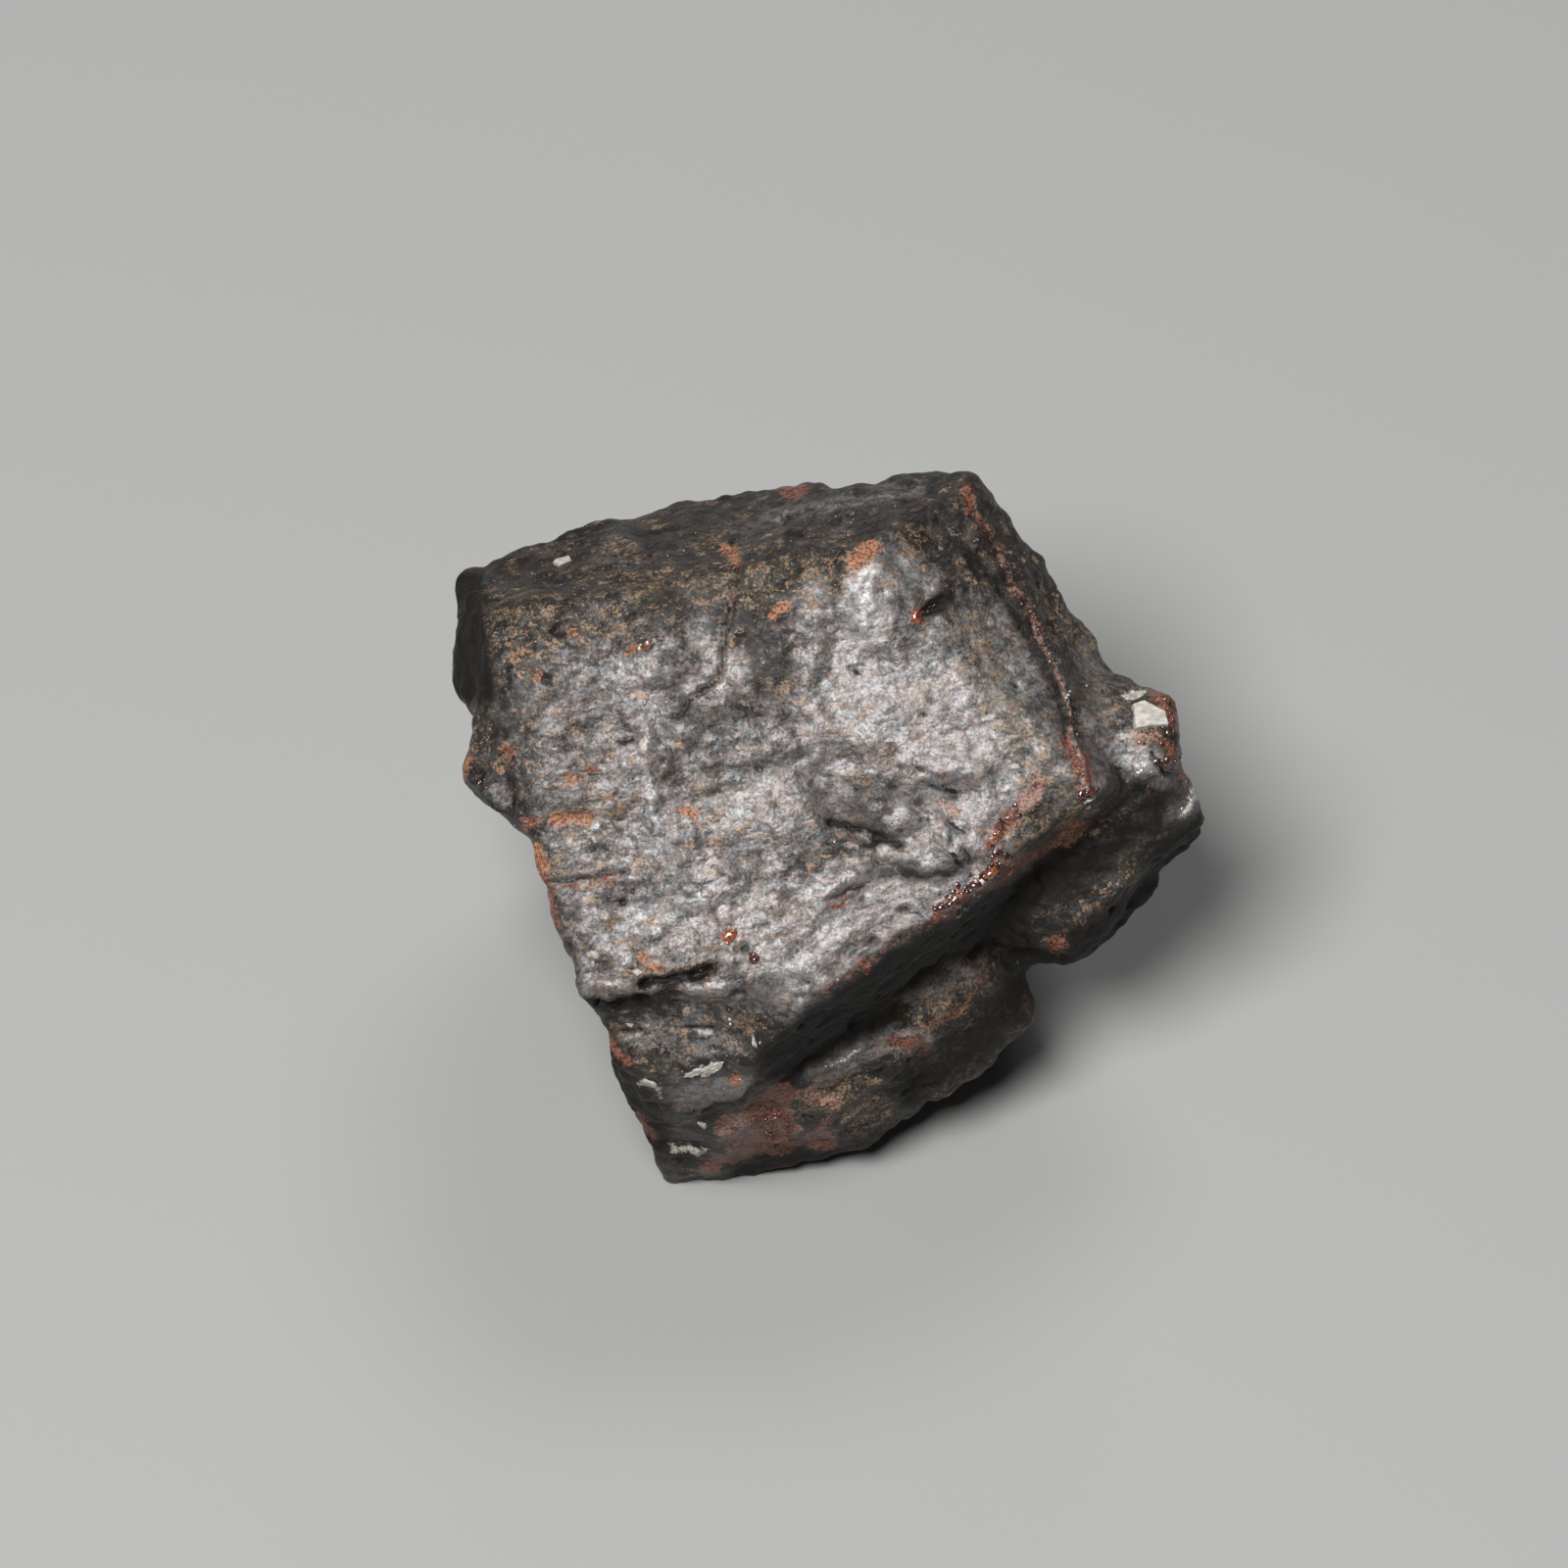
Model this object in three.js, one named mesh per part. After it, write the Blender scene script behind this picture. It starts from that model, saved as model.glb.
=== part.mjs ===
// Rutile crystal: one loose, stubby, elbow-twinned crystal about 15 mm across, in millimetres.
// It is drawn with its broad face flat, looking up along +Z, then tipped about X and stood on its base.
import * as THREE from "three";
import { ConvexGeometry } from "three/addons/geometries/ConvexGeometry.js";
import { ImprovedNoise } from "three/addons/math/ImprovedNoise.js";
import { mergeVertices } from "three/addons/utils/BufferGeometryUtils.js";

const TIP = 38; // degrees that the broad face leans back from level
const BASE_DROP = 11.1; // the resting plane lies this far below the broad face's centre
const HEART = new THREE.Vector3(0.3, -0.3, -5.6); // a point deep inside, which every face can be seen from
const FINENESS = 21; // each edge of the starting ball's 20 triangles is cut into one more piece than this
const SAME_POINT = 1e-4; // corners of the starting ball that lie closer than this are one

const SAME_WAY = 0.9999; // two triangles whose normals agree to this cosine may lie in one crystal face
const SAME_PLANE = 0.02; // and do, when their planes lie within this of each other, in mm
const CREASE = 0.985; // two faces meet in a crease when their normals agree to less than this cosine
const CREASE_FACES = 3; // the most faces that a point is settled onto
const CREASE_TURNS = 60;
const CREASE_ROOM = 0.62; // the farthest a point is moved, as a share of the gap to its nearest neighbour

const SOFTNESS = 0.2; // how far wear pulls a point toward its neighbours, as a share of the way
const STEEP_SOFTNESS = 0.85; // the same on a steep wall, whose points lie far apart
const STEEP_GAP = [0.62, 1.0]; // mm between points: no steep wall below the first, wholly one past the second
const WEAR_TURNS = 3;

const BROAD_DEPTH = 0.6; // the broad face's marks reach no deeper below it than this, in mm
const BROAD_LEVEL = 0.8; // and are put only where the normal leans from its own to no less than this cosine

// Each crystal face is [azimuth, tilt, distance]: the way it looks, as degrees round the broad face's normal
// from +X and degrees away from that normal, and how far it lies from the broad face's centre, in mm.
const GROUND = [270, 180 - TIP, BASE_DROP];
const MAIN = {
  broad: [0, 0, 0.05],
  corner_bevel: [-34, 20, 1.49],
  crest_bevel: [109.6, 22, 1.43],
  crest: [103, 70.5, 4.18],
  shoulder: [40.5, 38, 2.81],
  flank: [29.6, 66.7, 5.01],
  left: [195, 99, 5.2],
  left_foot: [220, 90, 5.99],
  ledge: [275, 76, 3.97],
  undercut: [-50, 76, 4.04],
  lower_undercut: [-54, 76, 3.99],
  back_left: [104.4, 126, 7.76],
  back_right: [71.5, 126.6, 7.66],
  back_flank: [41, 112, 7.64],
  right_end: [0, 90, 8],
  right_foot: [-15.7, 109, 8.35],
};
const CORNER = {
  broad: [170, 2, 0.05],
  crest_bevel: [112, 30, 1.9],
  crest: [103, 70.5, 4.1],
  left: [177.5, 79.2, 6.12],
  top_left: [140, 80, 7.25],
  left_foot: [191, 104, 6.9],
  end: [240, 90, 2.04],
  back: [104.4, 126, 7.7],
  right: [0, 90, -4.2],
};
const KEEL = {
  apron: [230.5, 27.4, 1.515],
  cap: [0, 0, 0],
  heel: [269.8, 69.2, 5.07],
  left_heel: [236.6, 75.1, 6.02],
  left: [190, 92, 4.57],
  left_foot: [205, 90, 5.68],
  top: [90, 90, -4],
  undercut: [-54, 76, 3.95],
  back: [90, 128, 2],
};

// The smaller crystals are the hulls of their corners, [x, y, z] in mm from the broad face's centre.
const MIDDLE_TWIN = [
  [1.4, -4.9, -4.3], [4.05, -3.3, -4.5], [4.2, -3.85, -4.1], [2.85, -5.15, -3.8], [1.9, -5.3, -3.9],
  [5.3, -4.9, -5.5], [5, -3.9, -5.2], [4.1, -6.1, -6.3], [3.3, -6.75, -6.6],
  [0.5, -2, -5], [4.4, -2.4, -6], [1.5, -6, -8], [4.5, -4.4, -8.2], [3, -1, -8],
];
const LOWER_TWIN = [
  [-0.3, -6.3, -3.3], [1, -5.75, -3.5], [2.1, -5.3, -3.6], [2.6, -5.4, -3.8], [2.2, -6.2, -4.6],
  [1.8, -7, -5.8], [1.65, -7.65, -7], [-0.4, -8, -7.3], [-1.9, -8.3, -7.8], [0.3, -7.2, -5.2],
  [-1.2, -7.7, -6.2], [-1.5, -6.9, -4.5], [-1, -4, -3], [1.5, -4, -4.5],
  [-2, -5.5, -9.8], [2.6, -5.8, -9], [2.9, -6.8, -7],
];
const RIGHT_TWIN = [
  [5.66, -3.46, -3.2], [6.9, -2.3, -3], [8.28, -0.6, -2.8], [8.65, -0.57, -3.2], [8.55, -1.1, -3.9],
  [8.1, -1.83, -4.5], [7.3, -2.85, -4.9], [6.3, -3.56, -5], [5.9, -3.8, -4.8], [8.3, -0.1, -2.2],
  [8.55, -0.5, -2.7], [4.8, -1.5, -2.8], [6.4, 0.6, -2.9], [8.1, 0.3, -2.6],
  [5.6, -4.05, -5.4], [4.2, -3, -6], [5.5, 0, -7.5], [7.4, 1, -5.5],
];
const LEFT_NUB = [
  [-6.1, 1.6, -0.5], [-6.55, 0.3, -0.9], [-6.65, 0.05, -1.1], [-6, -0.85, -0.8], [-5.3, -0.9, -0.5],
  [-5.4, 0.8, -0.1], [-6.1, 0.6, -0.2], [-5.9, -0.5, -0.25], [-4.5, 0.5, -0.3], [-4.8, -0.8, -0.3],
  [-6.2, 1.2, -2.2], [-6.3, 0.2, -2.2], [-5.6, -0.8, -2], [-4.5, 0, -2.5],
];
const RIGHT_NUB = [
  [6.9, 2.4, -2.6], [7.6, 2.25, -2.4], [8, 1.9, -2], [8.05, 1.2, -1.8], [8.15, 0.3, -2],
  [7.1, 1.65, -1.3], [7.85, 1.6, -1.4], [7, 1.1, -1.3], [7.3, 0.1, -1.5], [6.9, 0, -1.6],
  [6, 1.5, -3], [6.5, 0, -3.5], [7.5, 2, -4.5], [7.9, 0.5, -4.5],
];
const BACK_LEFT_TWIN = [
  [-4.6, 3.6, -7.2], [-2, 4.3, -8.6], [0.5, 3.7, -9.9], [1.2, 1.4, -12.4], [0.8, -0.4, -13.8],
  [-3, 0, -14], [-5, -0.1, -10.8], [-5.8, 2.6, -6], [-2, 5.2, -6], [3, 3, -7],
  [3.5, -2, -10], [-3, -3, -8],
];
const BACK_RIGHT_TWIN = [
  [2.5, 4.9, -6.9], [5, 2.9, -6.9], [6.4, 0.2, -7.2], [5.6, -0.6, -9.4], [3, 2.4, -10.6],
  [0.5, 4.5, -5.5], [5.6, 3, -4.5], [6.2, -1.6, -5.6], [0, 1, -9], [3, -3, -8],
];

// Ribs and hollows of the broad face: the path each follows, its half width, and its height or depth, in mm.
const BROAD_MARKS = [
  { path: [[1.4, 4.6], [2, 3]], half: 0.55, height: 0.16 },
  { path: [[2.9, 3.55], [3.1, 3.6]], half: 0.5, height: -0.3 },
  { path: [[0.6, 0.2], [1.4, -1], [2.3, -1.16]], half: 0.55, height: -0.22 },
  { path: [[1, 0.6], [2, 0.2]], half: 0.45, height: -0.14 },
  { path: [[3.2, 0], [3.7, -0.2]], half: 0.45, height: -0.16 },
  { path: [[1, -2.6], [3.2, -1.6], [4, -1.8]], half: 0.45, height: -0.18 },
  { path: [[-0.2, -3.6], [1.9, -2.7], [3.7, -1.3]], half: 0.7, height: 0.12 },
  { path: [[-5, -0.7], [-3.2, -0.9]], half: 0.45, height: -0.1 },
  { path: [[-4.9, -2.1], [-3, -2.4]], half: 0.45, height: -0.1 },
];

// Roughness, as [size, height] pairs: broad swells, then lumps and small pits.
const SWELLS = [[3.1, 0.14], [1.3, 0.09], [0.7, 0.045]];

function faceLooking(azimuth, tilt, distance) {
  const a = THREE.MathUtils.degToRad(azimuth);
  const t = THREE.MathUtils.degToRad(tilt);
  const normal = new THREE.Vector3(Math.cos(a) * Math.sin(t), Math.sin(a) * Math.sin(t), Math.cos(t));
  return new THREE.Plane(normal, -distance);
}

function crystalOfFaces(faces) {
  return Object.values(faces).map((face) => faceLooking(...face));
}

function isSamePlane(a, b) {
  return a.normal.dot(b.normal) > SAME_WAY && Math.abs(a.constant - b.constant) < SAME_PLANE;
}

// The faces of the hull of some corners, with the triangles that share a face taken as one.
function crystalOfCorners(corners) {
  const hull = new ConvexGeometry(corners.map((corner) => new THREE.Vector3(...corner)));
  const at = hull.attributes.position;
  const planes = [];
  for (let i = 0; i < at.count; i += 3) {
    const [a, b, c] = [0, 1, 2].map((k) => new THREE.Vector3().fromBufferAttribute(at, i + k));
    const plane = new THREE.Plane().setFromCoplanarPoints(a, b, c);
    if (!planes.some((other) => isSamePlane(plane, other))) planes.push(plane);
  }
  return planes;
}

// How far a ray from the heart runs before it leaves a crystal for good, and the face that it leaves by.
function leave(planes, way) {
  let enter = 0;
  let exit = Infinity;
  let face = null;
  for (const plane of planes) {
    const turn = plane.normal.dot(way);
    const reach = -plane.distanceToPoint(HEART) / turn;
    if (turn > 0 && reach < exit) {
      exit = reach;
      face = plane;
    }
    if (turn < 0) enter = Math.max(enter, reach);
    if (turn === 0 && plane.distanceToPoint(HEART) > 0) enter = Infinity;
  }
  return enter < exit ? { reach: exit, face } : { reach: 0, face };
}

const ground = faceLooking(...GROUND);
const crystals = [
  ...[MAIN, CORNER, KEEL].map(crystalOfFaces),
  ...[MIDDLE_TWIN, LOWER_TWIN, RIGHT_TWIN, LEFT_NUB, RIGHT_NUB].map(crystalOfCorners),
  ...[BACK_LEFT_TWIN, BACK_RIGHT_TWIN].map(crystalOfCorners),
];

// The point of the solid's outside that lies one way from the heart, and the face that it is on.
function surface(way) {
  const exits = crystals.map((planes) => leave(planes, way));
  const outer = exits.reduce((far, one) => (one.reach > far.reach ? one : far));
  const down = leave([ground], way);
  const { reach, face } = down.reach < outer.reach ? down : outer;
  return { point: HEART.clone().addScaledVector(way, reach), face };
}

const ball = new THREE.IcosahedronGeometry(1, FINENESS);
ball.deleteAttribute("normal");
ball.deleteAttribute("uv");
const shape = mergeVertices(ball, SAME_POINT);
const ways = [];
for (let i = 0; i < shape.attributes.position.count; i++)
  ways.push(new THREE.Vector3().fromBufferAttribute(shape.attributes.position, i).normalize());

const neighbours = ways.map(() => new Set());
for (let i = 0; i < shape.index.count; i += 3) {
  const [a, b, c] = [0, 1, 2].map((k) => shape.index.getX(i + k));
  neighbours[a].add(b).add(c);
  neighbours[b].add(c).add(a);
  neighbours[c].add(a).add(b);
}

// A point whose surroundings reach onto other faces is moved onto the edge or corner where those faces meet.
function settle(i) {
  const { point, face } = surface(ways[i]);
  const faces = new Set([face]);
  const around = [...neighbours[i]];
  for (const j of around) faces.add(surface(ways[i].clone().lerp(ways[j], 0.5).normalize()).face);
  const creased = [...faces].filter((other) => other === face || other.normal.dot(face.normal) < CREASE);
  const meeting = creased.slice(0, CREASE_FACES);
  const moved = point.clone();
  for (let turn = 0; turn < CREASE_TURNS; turn++)
    for (const other of meeting) moved.addScaledVector(other.normal, -other.distanceToPoint(moved));
  const room = CREASE_ROOM * Math.min(...around.map((j) => surface(ways[j]).point.distanceTo(point)));
  const fits = meeting.length > 1 && moved.distanceTo(point) < room;
  return { point: fits ? moved : point, onGround: faces.has(ground) };
}

const corners = ways.map((_, i) => settle(i));
const grounded = corners.map(({ onGround }) => onGround);
let points = corners.map(({ point }) => point);

function wear(point, i) {
  if (grounded[i]) return point;
  const around = [...neighbours[i]];
  const sum = around.reduce((total, j) => total.add(points[j]), new THREE.Vector3());
  const widest = Math.max(...around.map((j) => points[j].distanceTo(point)));
  const steep = THREE.MathUtils.smoothstep(widest, ...STEEP_GAP);
  const pull = THREE.MathUtils.lerp(SOFTNESS / WEAR_TURNS, STEEP_SOFTNESS, steep);
  return point.clone().lerp(sum.divideScalar(around.length), pull);
}

function place(at) {
  at.forEach(({ x, y, z }, i) => shape.attributes.position.setXYZ(i, x, y, z));
  shape.computeVertexNormals();
}

const grain = new ImprovedNoise();

function swell({ x, y, z }) {
  const waves = SWELLS.map(([size, height]) => height * grain.noise(x / size + size, y / size, z / size));
  return waves.reduce((sum, wave) => sum + wave, 0);
}

// The height that a rib or hollow gives the broad face: full on its path, none past its half width.
function markHeight({ path, half, height }, point) {
  const flat = new THREE.Vector3(point.x, point.y, 0);
  const nearest = new THREE.Vector3();
  let gap = Infinity;
  for (let k = 1; k < path.length; k++) {
    const [from, to] = [path[k - 1], path[k]].map((end) => new THREE.Vector3(...end, 0));
    const run = new THREE.Line3(from, to);
    run.closestPointToPoint(flat, true, nearest);
    gap = Math.min(gap, nearest.distanceTo(flat));
  }
  return height * (1 - THREE.MathUtils.smoothstep(gap, 0, half));
}

function relieve(point, i) {
  if (grounded[i]) return point;
  const normal = new THREE.Vector3().fromBufferAttribute(shape.attributes.normal, i);
  const onBroad = point.z > -BROAD_DEPTH && normal.z > BROAD_LEVEL;
  const marks = onBroad ? BROAD_MARKS.reduce((sum, mark) => sum + markHeight(mark, point), 0) : 0;
  return point.clone().addScaledVector(normal, swell(point) + marks);
}

for (let turn = 0; turn < WEAR_TURNS; turn++) points = points.map(wear);
place(points);
place(points.map(relieve));

shape.rotateX(THREE.MathUtils.degToRad(TIP));
shape.computeVertexNormals();

const look = new THREE.MeshStandardMaterial({ color: 0x3a3432, roughness: 0.4, metalness: 0.3 });
const rutile = new THREE.Mesh(shape, look);
rutile.name = "rutile_crystal";
const box = new THREE.Box3().setFromBufferAttribute(shape.attributes.position);
const middle = box.getCenter(new THREE.Vector3());
rutile.position.set(-middle.x, -middle.y, BASE_DROP);
const part = new THREE.Group();
part.add(rutile);
export default part;
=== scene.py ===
"""A small rutile crystal on a pale floor, with its skin, stains and grains modelled around the CAD frame.

Shapes are worked out in the crystal's own frame, in millimetres: u and v lie in the broad face and w is its
normal. The camera looks straight down w, so a mark on the near side is given by its place in the view.
"""

import math
import random
from types import SimpleNamespace

import bmesh
import bpy
import numpy as np
from mathutils import Matrix, Vector, noise
from mathutils.bvhtree import BVHTree
from mathutils.kdtree import KDTree


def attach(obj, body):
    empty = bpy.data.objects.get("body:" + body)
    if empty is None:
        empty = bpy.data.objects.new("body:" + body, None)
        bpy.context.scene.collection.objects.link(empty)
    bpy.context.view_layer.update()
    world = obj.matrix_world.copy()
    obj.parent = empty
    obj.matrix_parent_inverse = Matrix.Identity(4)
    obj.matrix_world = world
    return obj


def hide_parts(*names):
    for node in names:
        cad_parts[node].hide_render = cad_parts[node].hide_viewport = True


NODE = "rutile_crystal"
MM = 0.001
TIP = math.radians(38)  # how far the broad face leans back from level
FACE_CENTRE = Vector((-0.896, -2.517, 11.1))  # the broad face's centre in the part's frame, mm
TO_CRYSTAL = Matrix.Rotation(-TIP, 4, "X") @ Matrix.Translation(-FACE_CENTRE) @ Matrix.Scale(1 / MM, 4)
TO_WORLD = TO_CRYSTAL.inverted()

CAMERA_DISTANCE = 300  # mm, from the broad face's centre
CAMERA_REACH = (0.01, 10)  # m, the nearest and farthest that it sees
SENSOR = 36  # mm
VIEW_WIDTH = 32  # mm of the broad face's plane that the picture takes in
VIEW_PIXELS = 1600
PIXELS_PER_MM = VIEW_PIXELS / VIEW_WIDTH

FLOOR_REACH = 0.6  # m, from the middle to an edge
FLOOR_SQUARES = 8
WORLD_LIGHT = 0.04
# Round lamps: which way they stand from the crystal, their distance and width in mm, and their watts.
LAMPS = {
    "key": ((-0.208, -0.425, 0.881), 250, 95, 1.0),
    "top": ((0.15, 0.45, 0.88), 300, 120, 0.24),
    "rim": ((0.1, 0.88, 0.47), 300, 90, 0.06),
}

# Every path is written as x,y of its corners, in pixels of the view. These are in more than one table.
RING = "790,1138 803,1150 790,1164 778,1150 790,1138"
STEP = "594,1026 625,1024 657,1018"
HEEL_LINE = "720,1137 760,1122 777,1105"
HOLLOW = "735,735 775,728 818,740"

# Marks in the skin: half width and height in mm, and path.
RELIEF = dict(
    long_crack_top=(0.09, -0.18, "752,575 748,592 742,640"),
    long_crack_middle=(0.09, -0.16, "742,640 735,690 718,705"),
    long_crack_foot=(0.09, -0.13, "718,705 700,722 690,735"),
    rib=(0.34, 0.14, "893,582 884,610 880,640"),
    rib_hollow=(0.25, -0.05, "925,600 915,650"),
    pit_right=(0.2, -0.26, "949,624 960,614"),
    pit_right_slot=(0.07, -0.07, "953,620 972,612"),
    pit_crest_a=(0.09, -0.1, "745,553"),
    pit_crest_b=(0.07, -0.09, "806,546 820,544"),
    pit_crest_c=(0.07, -0.07, "855,533"),
    pit_left_a=(0.15, -0.12, "566,643 572,640"),
    pit_left_b=(0.12, -0.12, "558,694"),
    pit_left_c=(0.08, -0.08, "637,758 645,757"),
    pit_left_d=(0.06, -0.04, "670,585 620,590"),
    ledge_lit=(0.14, 0.07, "638,656 665,648"),
    ledge_foot=(0.07, -0.08, "640,668 668,658 700,645"),
    line_left_a=(0.07, -0.07, "570,780 590,788 615,793"),
    line_left_b=(0.07, -0.06, "598,818 640,812"),
    line_left_c=(0.06, -0.04, "612,768 640,764"),
    line_left_d=(0.08, -0.07, "560,835 600,832 640,836"),
    line_left_e=(0.07, -0.05, "548,868 610,872"),
    line_left_f=(0.08, -0.1, "555,905 600,897 640,890"),
    line_left_g=(0.07, -0.06, "610,925 660,905"),
    line_left_h=(0.06, -0.05, "575,950 640,940"),
    line_upright=(0.06, -0.05, "655,785 657,828"),
    neck_line=(0.07, -0.09, "536,735 533,790 538,838"),
    neck_line_low=(0.05, -0.06, "516,798 526,832"),
    valley_upper=(0.3, -0.05, "795,768 820,782 840,805"),
    valley_middle=(0.35, -0.06, "840,812 850,832 878,850"),
    valley_crack=(0.1, -0.14, "852,838 868,843 890,853 920,862"),
    valley_right=(0.35, -0.09, "870,800 905,808 935,815"),
    pit_valley_a=(0.11, -0.12, "874,806"),
    pit_valley_b=(0.1, -0.12, "911,806"),
    pit_valley_c=(0.1, -0.12, "936,782 944,785"),
    pit_valley_d=(0.16, -0.08, "948,801 965,806 975,814"),
    pit_plateau_a=(0.1, -0.12, "948,716"),
    pit_plateau_b=(0.09, -0.09, "868,683 874,686"),
    pit_plateau_c=(0.08, -0.07, "905,757"),
    plateau_edge=(0.35, 0.05, "838,655 824,700 824,722 850,745"),
    plateau_foot=(0.3, -0.05, "818,655 802,700 800,728 830,760"),
    slab=(0.24, 0.15, "862,862 888,868"),
    slab_shadow=(0.1, -0.12, "893,852 915,863"),
    swell_right=(0.6, 0.12, "960,790 1000,790 1005,830"),
    swell_right_lip=(0.12, 0.05, "960,762 1000,756 1018,768"),
    groove_low=(0.2, -0.15, "898,880 925,890 950,893 980,886"),
    groove_mid=(0.1, -0.1, "832,920 860,915 882,904"),
    groove_lip_a=(0.09, -0.11, "970,838 985,852"),
    groove_lip_b=(0.1, -0.12, "980,866 991,882"),
    pit_low_a=(0.09, -0.1, "868,940"),
    pit_low_b=(0.1, -0.1, "926,926 946,935"),
    pit_low_c=(0.1, -0.09, "822,1003"),
    run_a=(0.36, 0.08, "800,958 828,938 846,905 874,888"),
    run_b=(0.3, 0.07, "818,990 850,968 878,940 905,930"),
    run_c=(0.22, 0.08, "935,905 962,908 985,892"),
    run_d=(0.3, 0.1, "912,842 942,830 960,845 972,866"),
    run_gap=(0.16, -0.06, "806,978 836,956 852,930 880,914"),
    run_gap_low=(0.12, -0.04, "842,998 870,972 906,955"),
    furrow_left=(0.3, -0.06, "668,722 676,745 674,765 686,792"),
    furrow_left_pit=(0.11, -0.11, "703,772"),
    band_left=(0.3, 0.06, "645,728 660,750 662,800 668,832"),
    hollow_mid_a=(0.35, -0.05, HOLLOW),
    hollow_mid_b=(0.3, -0.05, "700,790 750,786 800,785"),
    hump_mid=(0.5, 0.1, "775,825 800,850"),
    hump_white=(0.2, 0.08, "738,885 760,900"),
    hollow_pink=(0.3, -0.05, "690,880 720,905"),
    hump_left_a=(0.4, 0.06, "600,700 640,690"),
    hump_left_b=(0.35, 0.07, "665,690 690,660"),
    hump_left_c=(0.35, 0.05, "580,860 620,855"),
    hump_left_d=(0.35, 0.06, "590,960 640,965"),
    streak_shadow=(0.08, -0.1, "608,918 640,920"),
    lip=(0.13, 0.07, "830,1012 880,978 930,943 975,918 1010,895"),
    crest_line=(0.07, 0.05, "780,528 850,515 945,500"),
    crest_corner=(0.12, 0.07, "945,499 985,500"),
    shoulder_ridge_a=(0.09, 0.09, "985,502 1010,540 1035,600"),
    shoulder_ridge_b=(0.08, 0.12, "1035,600 1058,640 1076,680"),
    shoulder_ridge_c=(0.08, 0.11, "1076,680 1088,712 1094,750 1108,805"),
    shoulder_groove=(0.1, -0.06, "1000,560 1030,620 1052,650"),
    flank_groove=(0.07, -0.05, "1125,700 1150,770"),
    foot_step_a=(0.13, -0.34, STEP),
    foot_step_b=(0.13, -0.34, "655,1002 685,999 720,988"),
    foot_pit=(0.22, -0.25, "712,996 722,992"),
    foot_bump=(0.26, 0.12, "708,1018 738,1015"),
    foot_slab=(0.28, 0.1, "600,1005 650,1003"),
    foot_dark=(0.08, -0.12, "744,1032"),
    terrace_line_a=(0.09, -0.1, "632,1055 655,1053"),
    terrace_line_b=(0.09, -0.1, "700,1052 728,1050"),
    terrace_hollow=(0.16, -0.05, "650,1078 700,1078"),
    heel_line=(0.1, -0.14, HEEL_LINE),
    ring=(0.07, 0.07, "790,1138 802,1142 803,1158 790,1164 778,1158 778,1144 790,1138"),
    ring_core=(0.12, -0.07, "790,1151"),
    lobe_band=(0.2, 0.08, "795,1110 850,1085 905,1055 935,1060"),
    lobe_groove=(0.12, -0.1, "840,1120 900,1090 940,1075"),
    lobe_low_a=(0.15, 0.09, "850,1150 890,1130"),
    lobe_low_b=(0.16, 0.08, "930,1130 1000,1085"),
    crevice=(0.13, -0.16, "870,1045 935,1000 1013,958"),
    shelf_hump=(0.25, 0.08, "930,1020 985,990"),
    right_lobe_ridge=(0.2, 0.08, "1080,968 1140,910 1225,835"),
    right_lobe_groove=(0.15, -0.08, "1060,925 1075,900"),
    nub_pit=(0.15, -0.14, "487,792"),
    nub_rim=(0.12, 0.06, "478,775 468,795"),
    right_nub_pit=(0.14, -0.12, "1178,768 1190,790"),
)

# Soft zones of the skin: half width in mm, strength and path.
# Where the skin is silvery: partly the rutile's own lustre, partly painted sheen on the faces that shine
# most, and from 0.9 up a painted near-white highlight.
CLEAN_AND_SHEEN = dict(
    face=(2, 0.36, "620,720 640,880 780,800 900,750"),
    face_low=(1.3, 0.5, "640,940 780,930"),
    plateau=(1.15, 1.1, "880,700 945,720 985,785"),
    plateau_foot=(0.9, 1, "960,800 1000,840"),
    rib=(0.5, 2, "893,590 880,645"),
    runs=(1, 1.15, "800,985 870,930 960,880"),
    middle=(1, 0.95, "780,830 830,800 850,740"),
    band_left=(0.5, 0.6, "650,690 662,750 665,830"),
    left_top=(0.6, 0.4, "600,700 680,670"),
    pink=(0.9, 0.6, "740,900 760,960"),
    left_low=(0.8, 0.4, "590,870 620,960"),
    slab=(0.4, 0.4, "600,1005 655,1003"),
    foot_bump=(0.3, 0.8, "708,1014 740,1012"),
    lobe=(0.3, 0.7, "835,1095 870,1078"),
    crest_top=(0.2, 0.25, "780,528 940,500"),
    crest_mid=(0.6, 0.12, "600,570 760,545 900,520"),
    shoulder=(0.8, 0.4, "1000,640 1040,720 1070,790"),
    flank=(0.6, 0.4, "1100,680 1130,760"),
    right_nub=(0.3, 1, "1165,765 1190,790"),
    right_end=(0.3, 1.5, "1206,830 1222,805"),
    right_nub_ledge=(0.36, 2.2, "1160,768 1188,784"),
    heel=(0.6, 0.25, "650,1050 740,1060"),
    heel_low=(0.4, 0.5, "700,1115 760,1112"),
    patch_ring=(0.3, 0.6, "750,1150 800,1158"),
    lip_band=(0.25, 1, "970,935 1010,905 1040,885"),
    middle_top=(0.5, 0.4, "830,610 825,700"),
    crack_side=(0.5, 0.55, "715,650 745,690 720,700"),
    pit_side=(0.55, 0.5, "905,570 935,600 945,650"),
    valley_top=(0.45, 0.5, "860,770 890,785"),
    valley_floor=(0.45, 0.6, "860,840 900,850 930,815"),
    hump_white=(0.3, 0.6, "742,893 765,902"),
    lines_left=(0.3, 0.4, "625,890 650,885"),
    shoulder_low=(0.4, 0.45, "1035,810 1060,780 1070,730"),
    ridge_foot=(0.25, 0.5, "1104,760 1116,800"),
    foot_slab=(0.25, 0.5, "598,1008 640,1006"),
    nub_left=(0.25, 0.22, "500,800 515,820"),
    shelf_mid=(0.3, 0.4, "930,1015 985,985"),
    lobe_long=(0.3, 0.8, "850,1085 905,1060 940,1065"),
    shelf=(0.4, 0.4, "930,1015 990,985"),
)

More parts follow.
